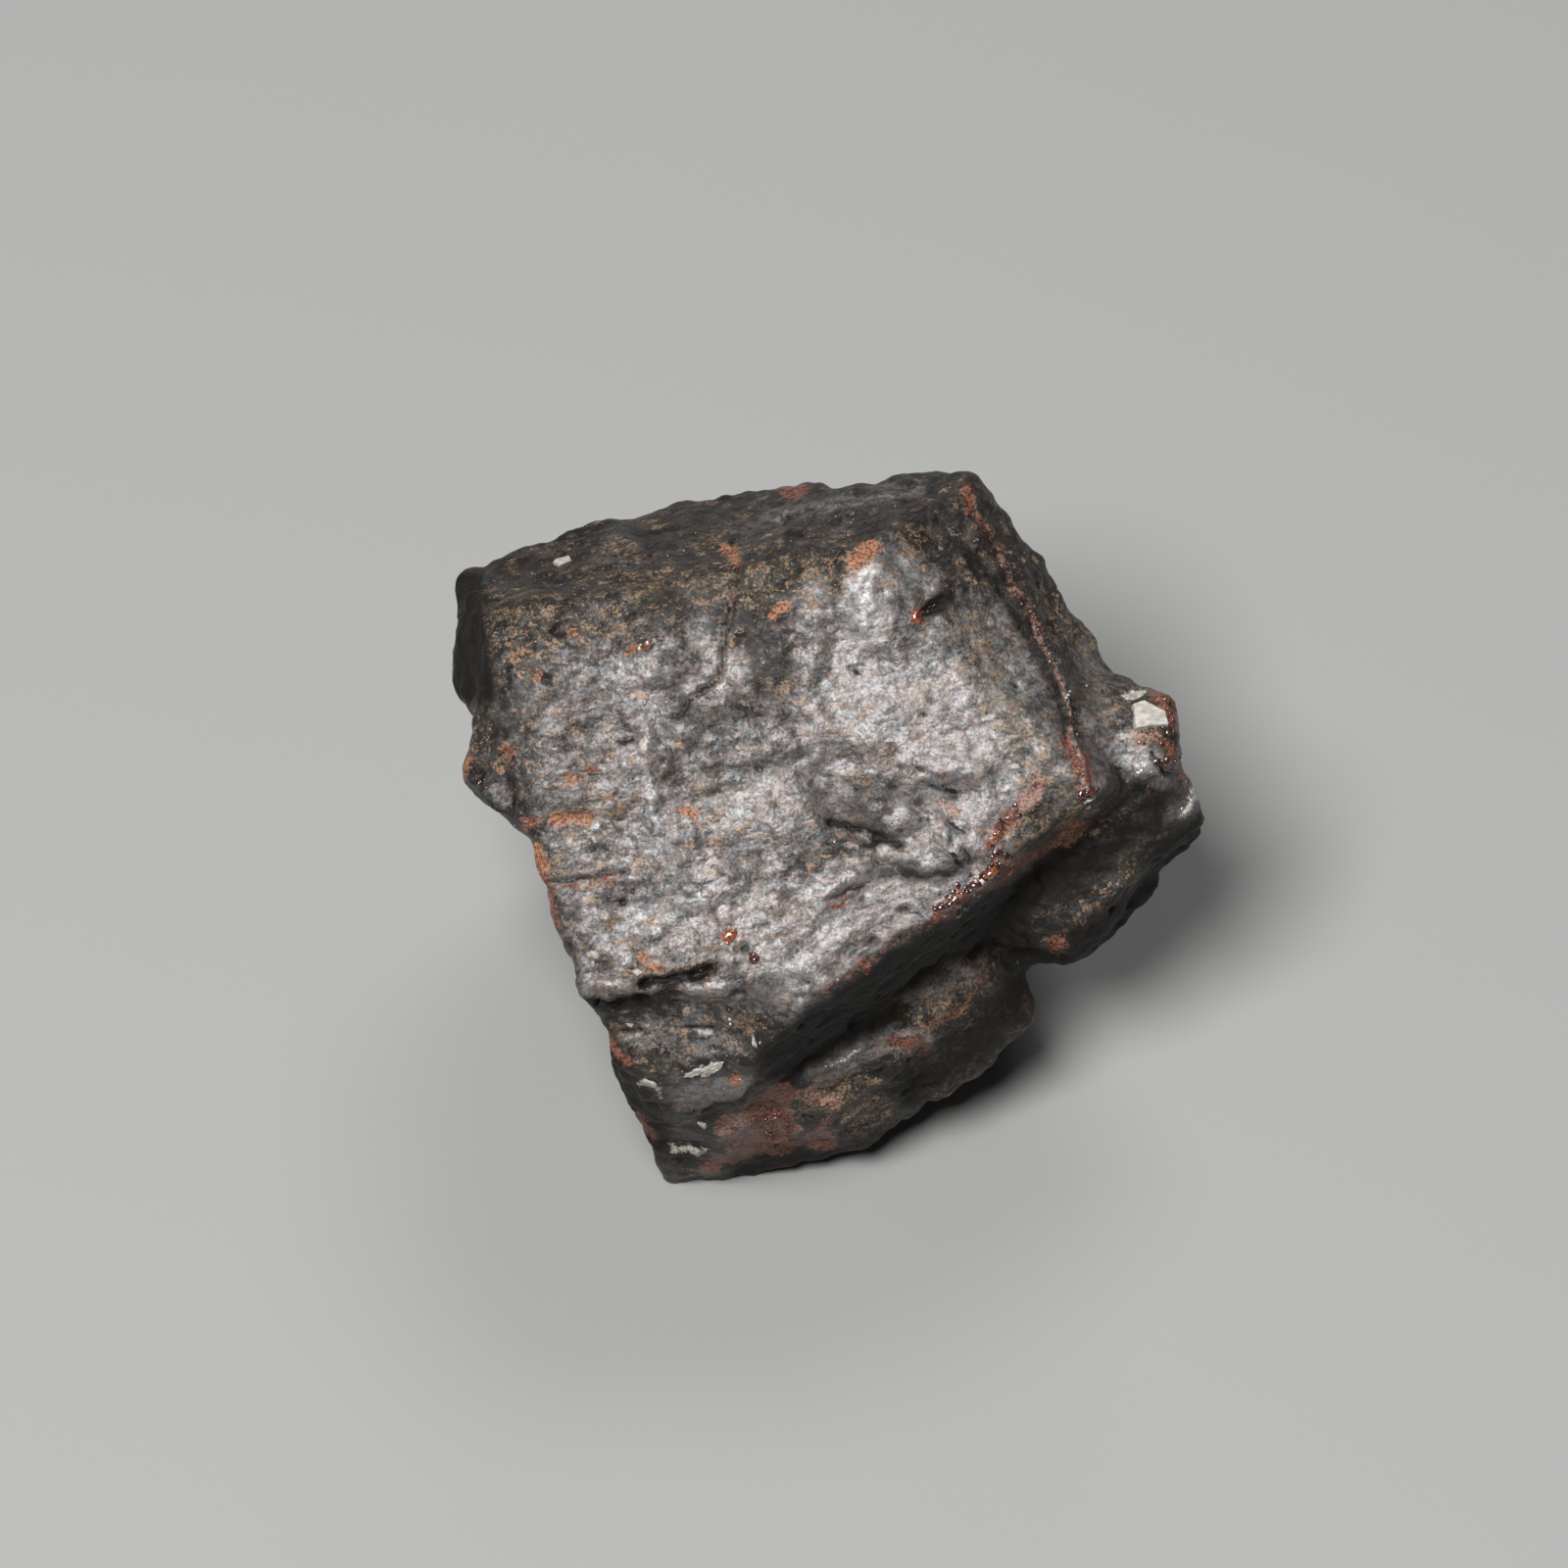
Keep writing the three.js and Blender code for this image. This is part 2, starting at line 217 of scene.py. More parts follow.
OLIVE = dict(
    bevel_right=(0.6, 0.6, "1040,870 1070,850 1095,825"),
    bevel_spot=(0.3, 0.9, "1085,808"),
    crest_bevel=(0.5, 0.55, "640,605 760,595 860,575"),
    crest_bevel_left=(0.5, 0.5, "510,625 600,640"),
    shoulder=(0.7, 0.6, "975,640 1010,690 1050,770"),
    terrace=(0.5, 0.5, "740,1040 780,1030"),
    heel=(0.35, 0.6, "680,1165 700,1150"),
    crest_left=(0.5, 0.35, "590,560 680,540"),
    spot_left=(0.18, 0.8, "600,770"),
    valley=(0.2, 0.8, "880,840 895,845"),
)

RUSTY = dict(
    bevel=(0.6, 0.42, "600,600 680,600 760,595 860,585"),
    bevel_left=(0.6, 0.45, "500,625 560,640 640,630"),
    crest_right=(0.35, 0.75, "872,572 905,590"),
    crest_right_up=(0.3, 0.5, "918,560 930,545"),
    crest_top=(0.35, 0.1, "580,575 700,555 860,540"),
    crest_edge=(0.25, 0.5, "720,555 735,550"),
    crack=(0.2, 0.45, "715,700 738,690 742,650"),
    left_edge=(0.35, 0.5, "505,670 520,660 560,700"),
    left=(0.6, 0.3, "560,750 620,780 600,840"),
    left_low=(0.6, 0.25, "570,880 620,900 600,960"),
    foot=(0.4, 0.35, "650,975 690,985 740,960"),
    middle=(0.6, 0.2, "800,700 900,760 870,830"),
    shoulder=(0.5, 0.4, "985,640 1010,700 1050,790"),
    shoulder_a=(0.22, 0.6, "995,655 1010,665"),
    shoulder_foot=(0.35, 0.5, "1065,770 1090,790"),
    lip_patch=(0.4, 0.65, "1040,835 1060,795"),
    bevel_right=(0.4, 0.5, "1020,870 1060,850 1100,830"),
    flank_band=(0.25, 0.7, "1078,650 1100,645 1130,660"),
    flank=(0.5, 0.35, "1080,620 1110,680 1135,740"),
    nub_patch=(0.3, 0.9, "1158,758 1182,756"),
    left_nub=(0.3, 0.55, "478,775 500,760 520,775"),
    terrace=(0.4, 0.3, "622,1065 700,1060 760,1040"),
    lobe=(0.6, 0.62, "830,1115 865,1115 885,1140"),
    lobe_top=(0.4, 0.5, "900,1062 940,1075 990,1090"),
    lobe_low=(0.3, 0.6, "860,1165 895,1150"),
    shelf=(0.6, 0.62, "915,1030 990,985"),
    shelf_low=(0.4, 0.5, "935,1050 990,1020"),
    right_lobe=(0.22, 0.45, "1090,950 1130,915 1170,880"),
    right_lobe_foot=(0.16, 0.35, "1072,962 1085,958"),
)

SHADE = dict(
    crest_a=(0.5, 0.35, "520,590 600,575"),
    crest_b=(0.5, 0.45, "660,560 730,540"),
    crest_c=(0.4, 0.4, "800,535 900,525"),
    crest_d=(0.4, 0.5, "930,530 975,530"),
    bevel_left=(0.35, 0.5, "585,590 600,560"),
    bevel_dark=(0.35, 0.35, "655,610 720,640 775,620"),
    bevel_right=(0.4, 0.45, "1050,865 1085,835"),
    heel=(0.4, 0.15, "700,1125 750,1125"),
    heel_low=(0.35, 0.6, "660,1145 700,1175"),
    step=(0.35, 0.35, "670,1010 700,1040"),
    above_step=(0.35, 0.2, "670,970 790,975"),
    bevel_low=(0.35, 0.22, "590,695 640,700"),
    terrace=(0.4, 0.45, "760,1040 790,1010"),
    top_end=(0.35, 0.5, "470,575 520,555 600,535"),
    flank=(0.4, 0.2, "1050,560 1085,630 1110,700"),
    slab=(0.35, 0.6, "1088,665 1105,705 1125,745"),
    lobe_right_low=(0.5, 1.2, "1110,962 1150,955"),
    face_left=(0.5, 1.2, "474,620 482,700"),
    undercut_a=(0.8, 0.95, "800,1080 900,1000 1000,940 1100,880"),
    undercut_b=(0.7, 0.9, "830,1070 900,1030"),
    undercut_c=(0.9, 0.7, "1040,960 1060,1010"),
    mid_low=(0.7, 0.75, "930,1110 1000,1060 1050,1000"),
    right_lobe_low=(0.9, 1.1, "1090,990 1180,930 1215,860"),
    right_lobe_top=(0.6, 0.75, "1060,920 1130,870 1200,810"),
    foot_low=(0.6, 0.75, "760,1195 850,1185 950,1150"),
    left_foot=(0.7, 1, "610,1080 635,1130 660,1160"),
    hollow_a=(0.4, 0.3, HOLLOW),
    hollow_b=(0.3, 0.3, "680,795 740,786 800,785"),
    valley_right=(0.4, 0.45, "870,806 935,812 960,808"),
    valley_side=(0.4, 0.45, "842,815 850,835 890,845"),
    groove_low=(0.25, 0.6, "885,888 940,895 985,888"),
    slab_top=(0.14, 0.6, "850,836 890,850 920,860"),
    gap=(0.2, 0.35, "830,925 860,918 885,905"),
    pit_right=(0.22, 1, "950,622 962,612"),
    strip=(0.3, 0.6, "985,560 1020,600 1055,655"),
    strip_low=(0.2, 0.4, "1055,655 1085,730"),
    hole=(0.3, 1, "1006,962 990,970"),
    crevice=(0.2, 0.8, "870,1045 935,1000 990,968"),
    left_side=(0.5, 1.1, "474,600 478,640 487,700"),
    right_nub=(0.22, 0.8, "1192,750 1192,790"),
)

ZONES = {"clean": CLEAN_AND_SHEEN, "olive": OLIVE, "rusty": RUSTY, "shade": SHADE}

# Stains with an edge, and painted shade in pits, cracks and under steps: half width in mm, how much of the
# ground they cover, and path.
RUST = dict(
    crest_left=(0.17, 0.9, "742,560 752,570"),
    crest_right=(0.2, 0.85, "872,576 880,566 892,560"),
    crest_mid=(0.12, 0.7, "790,628 800,618"),
    pit_rim=(0.13, 0.9, "938,628"),
    left_spot_a=(0.14, 0.9, "550,690"),
    left_spot_c=(0.13, 0.8, "582,645"),
    left_low=(0.14, 1, "565,836 600,834"),
    left_low_b=(0.12, 0.6, "580,795 595,800"),
    left_low_c=(0.14, 0.6, "700,825 712,840"),
    foot_spot=(0.15, 0.9, "740,956"),
    foot_streak=(0.12, 0.7, "655,975 672,985"),
    ledge_rust=(0.1, 0.7, "638,668 660,655"),
    left_rim=(0.16, 0.9, "548,870 555,885"),
    lip_a=(0.16, 0.9, "1012,890 1020,885"),
    lip_b=(0.18, 0.8, "1020,850 1030,840"),
    lip_c=(0.18, 0.9, "1088,855 1100,845"),
    left_nub_rim=(0.14, 0.7, "478,775 470,795"),
    terrace_b=(0.16, 0.9, "750,1102"),
    terrace_step=(0.1, 0.8, "630,1023 655,1018"),
    low_patch=(0.26, 0.95, "770,1132 795,1145 800,1162"),
)

PINK = dict(
    # Painted highlight: a thin pale glint along the shoulder's ridge, here and in the next row.
    ridge_glint=(0.05, 1, "1056,640 1076,680 1088,712 1094,750 1100,790 1110,812"),
    ridge_glint_up=(0.04, 0.8, "990,505 1015,550 1038,600 1058,640"),
    patch=(0.24, 0.5, "735,1150 765,1142"),
    patch_mid=(0.14, 0.5, "800,1128 812,1150"),
    patch_right=(0.22, 0.4, "825,1118 850,1125"),
    lip=(0.22, 0.75, "1046,822 1060,798"),
    bevel=(0.14, 0.6, "1010,850 1030,838"),
    valley=(0.14, 0.4, "955,812 975,828"),
    nub=(0.08, 0.8, "1160,754 1184,752"),
    spot=(0.14, 0.5, "708,838 716,845"),
    left=(0.12, 0.6, "566,842 590,838"),
    terrace=(0.14, 0.8, "750,1101"),
)

RED = dict(
    right_nub_arch=(0.17, 0.95, "1145,678 1172,682 1192,702 1199,735"),
    vein=(0.1, 0.9, "1093,755 1100,778 1108,772 1111,798"),
    lip_low=(0.08, 0.45, "840,1012 905,966 960,935"),
    foot_tip=(0.2, 0.3, "720,1195 745,1180"),
    heel_edge=(0.16, 0.4, "650,1135 665,1160"),
    shelf_edge=(0.1, 0.35, "940,1050 985,1030 1005,990"),
    crack=(0.06, 0.55, "750,580 745,600 742,640 736,690"),
    ledge=(0.07, 0.5, "642,664 668,652 700,643"),
    low_ring=(0.13, 1.1, "790,1136 804,1143 804,1159 790,1166 776,1159 776,1143 790,1136"),
    low_a=(0.1, 0.7, "735,1140 760,1160 775,1166"),
    low_b=(0.1, 0.7, "730,1152 750,1138 775,1128 800,1124"),
    low_c=(0.1, 0.6, "800,1172 830,1160 850,1140"),
    spot_a=(0.14, 0.9, "520,768"),
    spot_b=(0.09, 0.9, "603,785"),
    spot_c=(0.12, 0.9, "770,980"),
    spot_d=(0.14, 0.9, "880,985"),
    left_rim=(0.2, 0.8, "556,900 560,940 565,985"),
    left_foot=(0.16, 0.28, "640,1085 620,1060"),
    neck=(0.12, 0.9, "535,840 545,838"),
    lip=(0.15, 1, "955,935 985,915 1010,898 1040,880"),
    lip_end=(0.1, 0.8, "1040,880 1075,862 1108,842"),
    lip_up=(0.13, 0.9, "1012,862 1022,845 1035,830"),
    shoulder=(0.07, 0.5, "985,505 1010,545 1038,605 1065,645"),
    shoulder_low=(0.12, 0.8, "1090,755 1100,790"),
    corner=(0.16, 0.6, "985,500 990,520"),
    patch_low=(0.3, 0.8, "750,1170 790,1165"),
    patch_up=(0.25, 0.6, "770,1125 800,1115"),
    right_nub_rim=(0.26, 0.9, "1180,700 1196,722"),
    right_nub_low=(0.16, 0.6, "1190,760 1212,790"),
    right_lobe=(0.25, 0.7, "1078,965"),
    lobe=(0.2, 0.7, "915,1062 940,1068"),
    groove=(0.12, 0.6, "850,925 865,918"),
    low_lobe=(0.25, 0.5, "830,1160 845,1165"),
    step_left=(0.08, 0.7, "580,905 625,895"),
    crest_spot=(0.25, 0.6, "800,495 815,500"),
)

# Painted shade in pits, cracks, valleys and under the steps, drawn as black marks.
RECESS_SHADE = dict(
    lens=(0.1, 0.6, "628,757 645,757"),
    crack=(0.06, 0.85, "751,575 746,600 741,650 735,690 718,706 690,735"),
    pit_right=(0.12, 1.3, "952,618 968,610"),
    pit_a=(0.1, 1, "745,553"),
    pit_b=(0.1, 1, "806,546 820,544"),
    pit_c=(0.08, 1, "855,533"),
    pit_d=(0.18, 0.9, "568,643"),
    pit_e=(0.14, 1, "558,694"),
    pit_f=(0.1, 0.9, "637,758"),
    valley=(0.06, 0.8, "858,840 868,845 884,850 893,858 918,861"),
    valley_up=(0.05, 0.8, "826,826 842,836 858,840"),
    slab_edge=(0.05, 0.9, "880,872 893,862 900,850"),
    pit_g=(0.09, 0.6, "962,801 974,808"),
    pit_h=(0.09, 0.7, "972,872 983,886"),
    step_a=(0.1, 1.4, STEP),
    step_b=(0.1, 1.4, "656,1002 690,1000 716,990"),
    foot_pit=(0.2, 0.9, "716,990"),
    foot_dark=(0.1, 1, "744,1032"),
    heel=(0.12, 0.9, HEEL_LINE),
    nub=(0.18, 0.9, "487,792"),
    neck=(0.07, 0.6, "536,735 533,790"),
)

CREAM = dict(
    terrace=(0.06, 0.8, "700,1096 730,1090"),
    terrace_left=(0.05, 0.7, "652,1103 668,1107 676,1120"),
    heel=(0.08, 0.8, "686,1168 716,1176"),
    lobe=(0.06, 0.6, "848,1088 880,1072"),
    right_nub=(0.14, 0.4, "1210,826 1220,808"),
    right_nub_top=(0.12, 0.6, "1150,712 1166,708"),
)

STAINS_AND_PAINTED_LIGHT = {"rust": RUST, "pink": PINK, "red": RED, "dark": RECESS_SHADE, "cream": CREAM}

# Plates of a pale mineral that lie flat on the skin: thickness in mm and outline.
PLATES = dict(
    right_nub=(0.1, "1155,721 1166,717 1188,727 1191,741 1172,742 1157,746"),
    crest=(0.05, "565,576 568,573 581,569 583,572 570,578"),
    step=(0.06, "644,991 650,989 655,993 650,996"),
)

# Crusts of it that follow the skin: half width and thickness in mm, and path.
CRUSTS = dict(
    terrace_a=(0.06, 0.04, "700,1098 710,1094 716,1092"),
    terrace_b=(0.1, 0.07, "720,1094 726,1089 733,1087"),
    streak=(0.05, 0.04, "655,1104 664,1105 672,1111"),
    heel_a=(0.07, 0.05, "704,1171 709,1174 713,1177"),
    heel_b=(0.05, 0.04, "687,1169 690,1174"),
    heel_c=(0.05, 0.05, "714,1146 718,1148"),
    nub_top=(0.06, 0.04, "1150,714 1158,710 1166,709"),
    terrace_bits=(0.04, 0.03, "641,1045 644,1046"),
    terrace_chip=(0.04, 0.04, "768,1055 770,1066"),
)

# Half-buried grains: spread in mm, how many, smallest and largest size in mm, and path.
AMBER_GRAINS = dict(
    lip_a=(0.2, 10, 0.1, 0.24, "962,928 985,912 1008,890 1036,880"),
    lip_b=(0.1, 5, 0.1, 0.2, "1012,862 1022,845 1036,828"),
    lip_stone=(0.02, 1, 0.46, 0.47, "1010,891"),
    lip_stone_b=(0.02, 1, 0.26, 0.27, "1032,890"),
    pit_stone=(0.01, 2, 0.5, 0.6, "937,631"),
    lip_c=(0.1, 12, 0.07, 0.16, "1080,860 1108,842"),
    lip_low=(0.1, 16, 0.05, 0.12, "830,1018 900,970 950,938"),
    left_rim=(0.1, 22, 0.07, 0.17, "550,875 556,910 565,985"),
    left_neck=(0.12, 8, 0.06, 0.13, "520,768 535,840"),
    right_nub=(0.14, 3, 0.12, 0.2, "1162,756 1186,762"),
    right_nub_rim=(0.1, 4, 0.12, 0.22, "1184,702 1198,730"),
    right_nub_low=(0.12, 4, 0.08, 0.16, "1195,765 1212,792"),
    shoulder=(0.07, 18, 0.04, 0.1, "1020,570 1062,645 1090,720"),
    shoulder_foot=(0.12, 12, 0.06, 0.14, "1092,755 1102,800"),
    foot_stone=(0.01, 1, 0.52, 0.54, "742,957"),
    foot_orange=(0.08, 4, 0.12, 0.2, "738,952 746,964"),
    pit_rim=(0.12, 5, 0.08, 0.16, "932,632 944,636"),
    crest=(0.08, 5, 0.06, 0.12, "748,566 750,582"),
    ring=(0.06, 14, 0.08, 0.15, RING),
    terrace=(0.1, 6, 0.07, 0.13, "745,1098 757,1102"),
)

DARK_GRAINS = dict(
    lip=(0.28, 46, 0.16, 0.4, "960,930 985,910 1012,888 1034,872"),
    lip_up=(0.12, 16, 0.1, 0.24, "1012,865 1025,842 1040,826"),
    shoulder_foot=(0.12, 12, 0.18, 0.36, "1102,818 1118,806"),
    shoulder_edge=(0.1, 10, 0.06, 0.14, "1092,760 1108,790"),
    pits=(0.1, 9, 0.05, 0.12, "745,553 813,545 855,533"),
    pit_right=(0.1, 6, 0.06, 0.14, "948,622 960,616"),
    right_nub=(0.14, 10, 0.2, 0.4, "1178,772 1196,792"),
    right_nub_arch=(0.1, 16, 0.12, 0.24, "1150,690 1172,696 1190,712 1196,740 1202,780"),
    shoulder_line=(0.07, 26, 0.07, 0.15, "1058,640 1076,680 1088,712 1094,750 1106,800"),
    right_nub_top=(0.14, 10, 0.1, 0.22, "1188,742 1200,765"),
    left_nub=(0.15, 10, 0.08, 0.16, "480,782 496,802"),
    foot_stone=(0.04, 5, 0.2, 0.38, "768,976 773,984"),
    low_ring=(0.05, 16, 0.12, 0.22, RING),
    foot_pit=(0.12, 8, 0.07, 0.15, "708,985 725,998"),
    foot_dark=(0.06, 4, 0.07, 0.12, "744,1028 746,1036"),
)

# Painted highlights and glints, drawn as small pale grains.
HIGHLIGHT_GRAINS = dict(
    ledge=(0.05, 7, 0.08, 0.16, "645,662 668,654"),
    glints_crest=(0.5, 40, 0.03, 0.06, "520,610 640,565 800,540 970,520"),
    glints_left=(1.1, 45, 0.03, 0.06, "600,700 620,840 620,960"),
    glints_middle=(1.2, 45, 0.03, 0.06, "760,720 800,860 860,930"),
    glints_flank=(0.4, 24, 0.03, 0.05, "1010,560 1080,660 1130,740"),
    glints_heel=(0.6, 24, 0.03, 0.06, "640,1050 720,1080 760,1160"),
    glints_lobe=(0.5, 20, 0.03, 0.05, "780,1160 860,1080 960,1060"),
    shoulder_line=(0.08, 9, 0.08, 0.16, "1080,690 1090,712 1096,750 1106,800"),
    lip=(0.16, 12, 0.12, 0.24, "962,928 990,908 1002,898"),
    lip_low=(0.05, 2, 0.1, 0.14, "850,1000 856,1000"),
    shoulder_foot=(0.06, 5, 0.2, 0.4, "1108,822 1114,814"),
    right_nub=(0.16, 4, 0.08, 0.15, "1160,785 1185,790"),
    right_end=(0.12, 4, 0.1, 0.16, "1206,832 1214,815 1224,806"),
    foot=(0.06, 3, 0.07, 0.12, "745,1042 748,1046"),
    terrace=(0.05, 3, 0.06, 0.1, "770,1058 776,1066"),
    left_neck=(0.05, 2, 0.07, 0.11, "520,838 526,842"),
    crest=(0.05, 2, 0.07, 0.1, "541,587 544,587"),
    lobe=(0.08, 4, 0.07, 0.13, "850,1088 858,1083"),
)

# Colours, as linear red, green, blue and alpha.
STEEL = (0.05, 0.05, 0.052, 1)
BRONZE = (0.06, 0.048, 0.033, 1)
ROSE = (0.1, 0.072, 0.062, 1)
COAL = (0.012, 0.009, 0.008, 1)
SOOT = (0.014, 0.011, 0.01, 1)
HAZE = (0.085, 0.075, 0.068, 1)
SILVER = (0.315, 0.31, 0.31, 1)
WARM_SILVER = (0.33, 0.29, 0.28, 1)
TAN_SILVER = (0.26, 0.215, 0.19, 1)
DULL_SILVER = (0.22, 0.2, 0.185, 1)
# Painted highlight colour, mixed into the silver where the sheen zone is strongest.
GLINT = (0.85, 0.83, 0.82, 1)
OCHRE = (0.26, 0.2, 0.12, 1)
ORANGE = (0.36, 0.19, 0.11, 1)
GRIME = (0.01, 0.008, 0.007, 1)
# Dark seams between grains, and painted shade in the hollows.
SEAM_AND_HOLLOW_SHADE = (0.015, 0.011, 0.009, 1)
MOSS_DARK = (0.02, 0.018, 0.01, 1)
MOSS_LIGHT = (0.15, 0.125, 0.06, 1)
SHADOW = (0.006, 0.005, 0.004, 1)
PALE_DEEP = (0.3, 0.275, 0.235, 1)
PALE_BRIGHT = (0.5, 0.475, 0.43, 1)
PAPER = (0.3, 0.3, 0.295, 1)
STAIN_AND_PAINTED_LIGHT_COLOURS = {
    "rust": ((0.07, 0.028, 0.016, 1), (0.36, 0.17, 0.09, 1)),
    # Pink stains, and the painted glint along the shoulder's ridge:
    "pink": ((0.09, 0.038, 0.026, 1), (0.36, 0.22, 0.17, 1)),
    "red": ((0.035, 0.011, 0.008, 1), (0.21, 0.082, 0.052, 1)),
    "cream": ((0.3, 0.28, 0.22, 1), (0.6, 0.57, 0.5, 1)),
    # Painted shade in pits, cracks and under steps:
    "dark": ((0.006, 0.005, 0.005, 1), (0.015, 0.012, 0.01, 1)),
}
# Grains: their groups, the seed of their places, their colour and their roughness.
GRAINS = {
    "amber": (AMBER_GRAINS, 11, (0.27, 0.075, 0.027, 1), 0.16),
    "dark": (DARK_GRAINS, 12, (0.075, 0.02, 0.014, 1), 0.14),
    # Pale grains that stand in for painted highlights:
    "painted_highlight": (HIGHLIGHT_GRAINS, 13, (0.6, 0.57, 0.55, 1), 0.12),
}
# Patterns of the materials: cells to the mm, or a noise's waves to the mm, detail and roughness.
PATCH_CELLS = 6
GRAIN_CELLS = 14
SPARK_CELLS = 25
STRAYING = (6, 4, 0.7)
DIRT = (8, 5, 0.8)
CRUMBS = (7, 5, 0.75)
FINE = (15, 3, 0.7)
BLOTCHES = (2.4, 6, 0.75)
BROAD = (0.45, 4, 0.6)
LUMP_WAVES = (2.3, 2, 0.45)
KNOB_WAVES = (6, 2, 0.45)
LINE_WAVES = (1.8, 2, 0.5)
GRAIN_MOTTLE = (9, 3, 0.5)
PALE_MOTTLE = (7, 4, 0.5)
STEP_WIDTH = 0.03  # over how much of a pattern's value one colour gives way to the next
DEEP_SHARE = 0.3  # how bright a grain's dark spots are beside the rest of it
DEEP_UP_TO = 0.35  # the mottle's value up to which a mineral shows its deep colour
MINERAL_BUMP = 0.03 * MM
RUTILE_BUMP = 0.12 * MM
RUTILE_ROUGHNESS = 0.54
RUTILE_METAL = 0.12
RUTILE_COAT = 0.32

VOXEL = 0.076  # mm, the mesh size of the skin where the camera sees it
WELD = 1e-4  # mm, below which two corners of the frame's mesh are one
REAR_LEVEL = -0.1  # the normal's w below which the skin is taken to look away
REAR_SHARE = 0.56  # the part of the skin's triangles that is left once its rear has been thinned
SMOOTH_TURNS = 14
SMOOTH_SHARE = 0.5
SHARPENING = 0.7  # how much the worn edges are drawn out again
SHARPEN_TURNS = 50
HOLLOW_TURNS = 10
HOLLOW_DEPTH = 0.05  # mm below its surroundings at which a point counts as wholly hollow

LUMPS = [(1.3, 0.13), (0.62, 0.1), (0.3, 0.05), (0.17, 0.02)]  # size and height of the skin's lumps, mm
LUMP_SEED = 0.5
LUMP_SEED_STEP = 7.3
CALMING = 0.7  # how much lower the lumps are where the skin is clean and painted with sheen
STRIPES_LEFT = math.radians(12)  # the way that the fine lines run, in the broad face's plane
STRIPES_RIGHT = math.radians(-67)
STRIPE_SEEDS = (3.1, 8.7)
STRIPE_HEIGHT = 0.012
STRIPE_WIDTH = 0.2
STRIPE_LENGTH = 2.4
STRIPE_DEPTH = 2  # widths that a line reaches down
TURN_FROM = 0.15  # the normal's u from which the lines run the other way
TURN_OVER = 0.3
RELIEF_FACING = 0.25  # the normal's w from which a mark has its whole height
ZONE_FACING = 0.2  # and from which a zone or a stain has its whole value
WANDER_SEEDS = (2.2, 7.7)
WANDER_SIZE = 0.32  # mm between the bends of a mark's edge
WANDER_REACH = 0.1  # mm that it strays
ZONE_SPREAD = 1.5
STAIN_EDGE = 0.3  # mm over which a stain's value runs from none to all
STAIN_THINNING = 0.35  # what the weakest stain's value loses
PIT_SEED = 21
PIT_COUNT = 420
PIT_RADIUS = (0.08, 0.2)
PIT_DEPTH = (0.04, 0.11)

GRAIN_STRETCH = [(0.6, 1.2), (0.5, 0.9), (0.4, 0.7)]
GRAIN_RAGGED = (0.86, 1.1)
GRAIN_SINK = 0.2  # how far a grain sits in the skin, as a share of its size
MINERAL_SEED = 5
PLATE_FLATNESS = 0.6  # how much of the skin's unevenness a plate leaves out
PLATE_RISE = (0.8, 1.1)  # a plate's height at its corners and at its middle, as a share of its thickness
PLATE_CROWN = 1.15
PLATE_FOOT = 0.08  # how much wider its foot is, as a share
CRUST_SIDES = 18
CRUST_RINGS = [(1.05, -0.8), (0.95, 0.5), (0.72, 1.0), (0.4, 0.9)]  # shares of its outline and thickness
CRUST_RAGGED = (0.65, 1.25)
CRUST_UNEVEN = (0.7, 1.2)


def sight(points):
    """Where the camera sees each point, in mm of the broad face's plane."""
    return points[:, :2] * (CAMERA_DISTANCE / (CAMERA_DISTANCE - points[:, 2:3]))


def from_pixels(path):
    """A path's corners, in mm from the middle of the view."""
    corners = np.array([corner.split(",") for corner in path.split()], dtype=float)
    return (corners - VIEW_PIXELS / 2) / PIXELS_PER_MM * (1, -1)


def gap_to_path(seen, path):
    """The distance from each seen point to a path of one or more corners."""
    if len(path) == 1:
        return np.linalg.norm(seen - path[0], axis=1)
    gap = np.full(len(seen), np.inf)
    for start, end in zip(path[:-1], path[1:]):
        run = end - start
        share = np.clip((seen - start) @ run / (run @ run), 0, 1)
        gap = np.minimum(gap, np.linalg.norm(seen - start - share[:, None] * run, axis=1))
    return gap


def gaps(seen, marks):
    """How far the seen points lie from each mark, with the mark's own two numbers."""
    for half, strength, path in marks.values():
        yield gap_to_path(seen, from_pixels(path)), half, strength


def faded(gap, half):
    """One on a path, falling softly to nothing at the given distance from it."""
    share = np.clip(gap / half, 0, 1)
    return 1 - share * share * (3 - 2 * share)


def facing(normals, full):
    """How much the skin looks at the camera: all of it where the normal's w is the given value or more."""
    return np.clip(normals[:, 2] / full, 0, 1)


def noise_at(points, seed):
    return np.array([noise.noise(Vector(p)) for p in points + seed])


def wandering(seen):
    """Places in the view, shifted a little so that marks drawn by them have uneven edges."""
    flat = np.column_stack((seen / WANDER_SIZE, np.zeros(len(seen))))
    return seen + WANDER_REACH * np.column_stack([noise_at(flat, seed) for seed in WANDER_SEEDS])


def link(name, data):
    piece = bpy.data.objects.new(name, data)
    bpy.context.scene.collection.objects.link(piece)
    return piece


def mesh_from(bm, name):
    mesh = bpy.data.meshes.new(name)
    bm.to_mesh(mesh)
    bm.free()
    return mesh


def column(rows, key, width, kind=float):
    """One property of every row in a mesh's list."""
    flat = np.empty(len(rows) * width, dtype=kind)
    rows.foreach_get(key, flat)
    return flat.reshape(-1, width)


def points_of(mesh):
    return column(mesh.vertices, "co", 3)


def normals_of(mesh):
    return column(mesh.vertex_normals, "vector", 3)


def edges_of(mesh):
    return column(mesh.edges, "vertices", 2, np.int32)


def set_points(mesh, points):
    mesh.vertices.foreach_set("co", points.ravel())
    mesh.update()


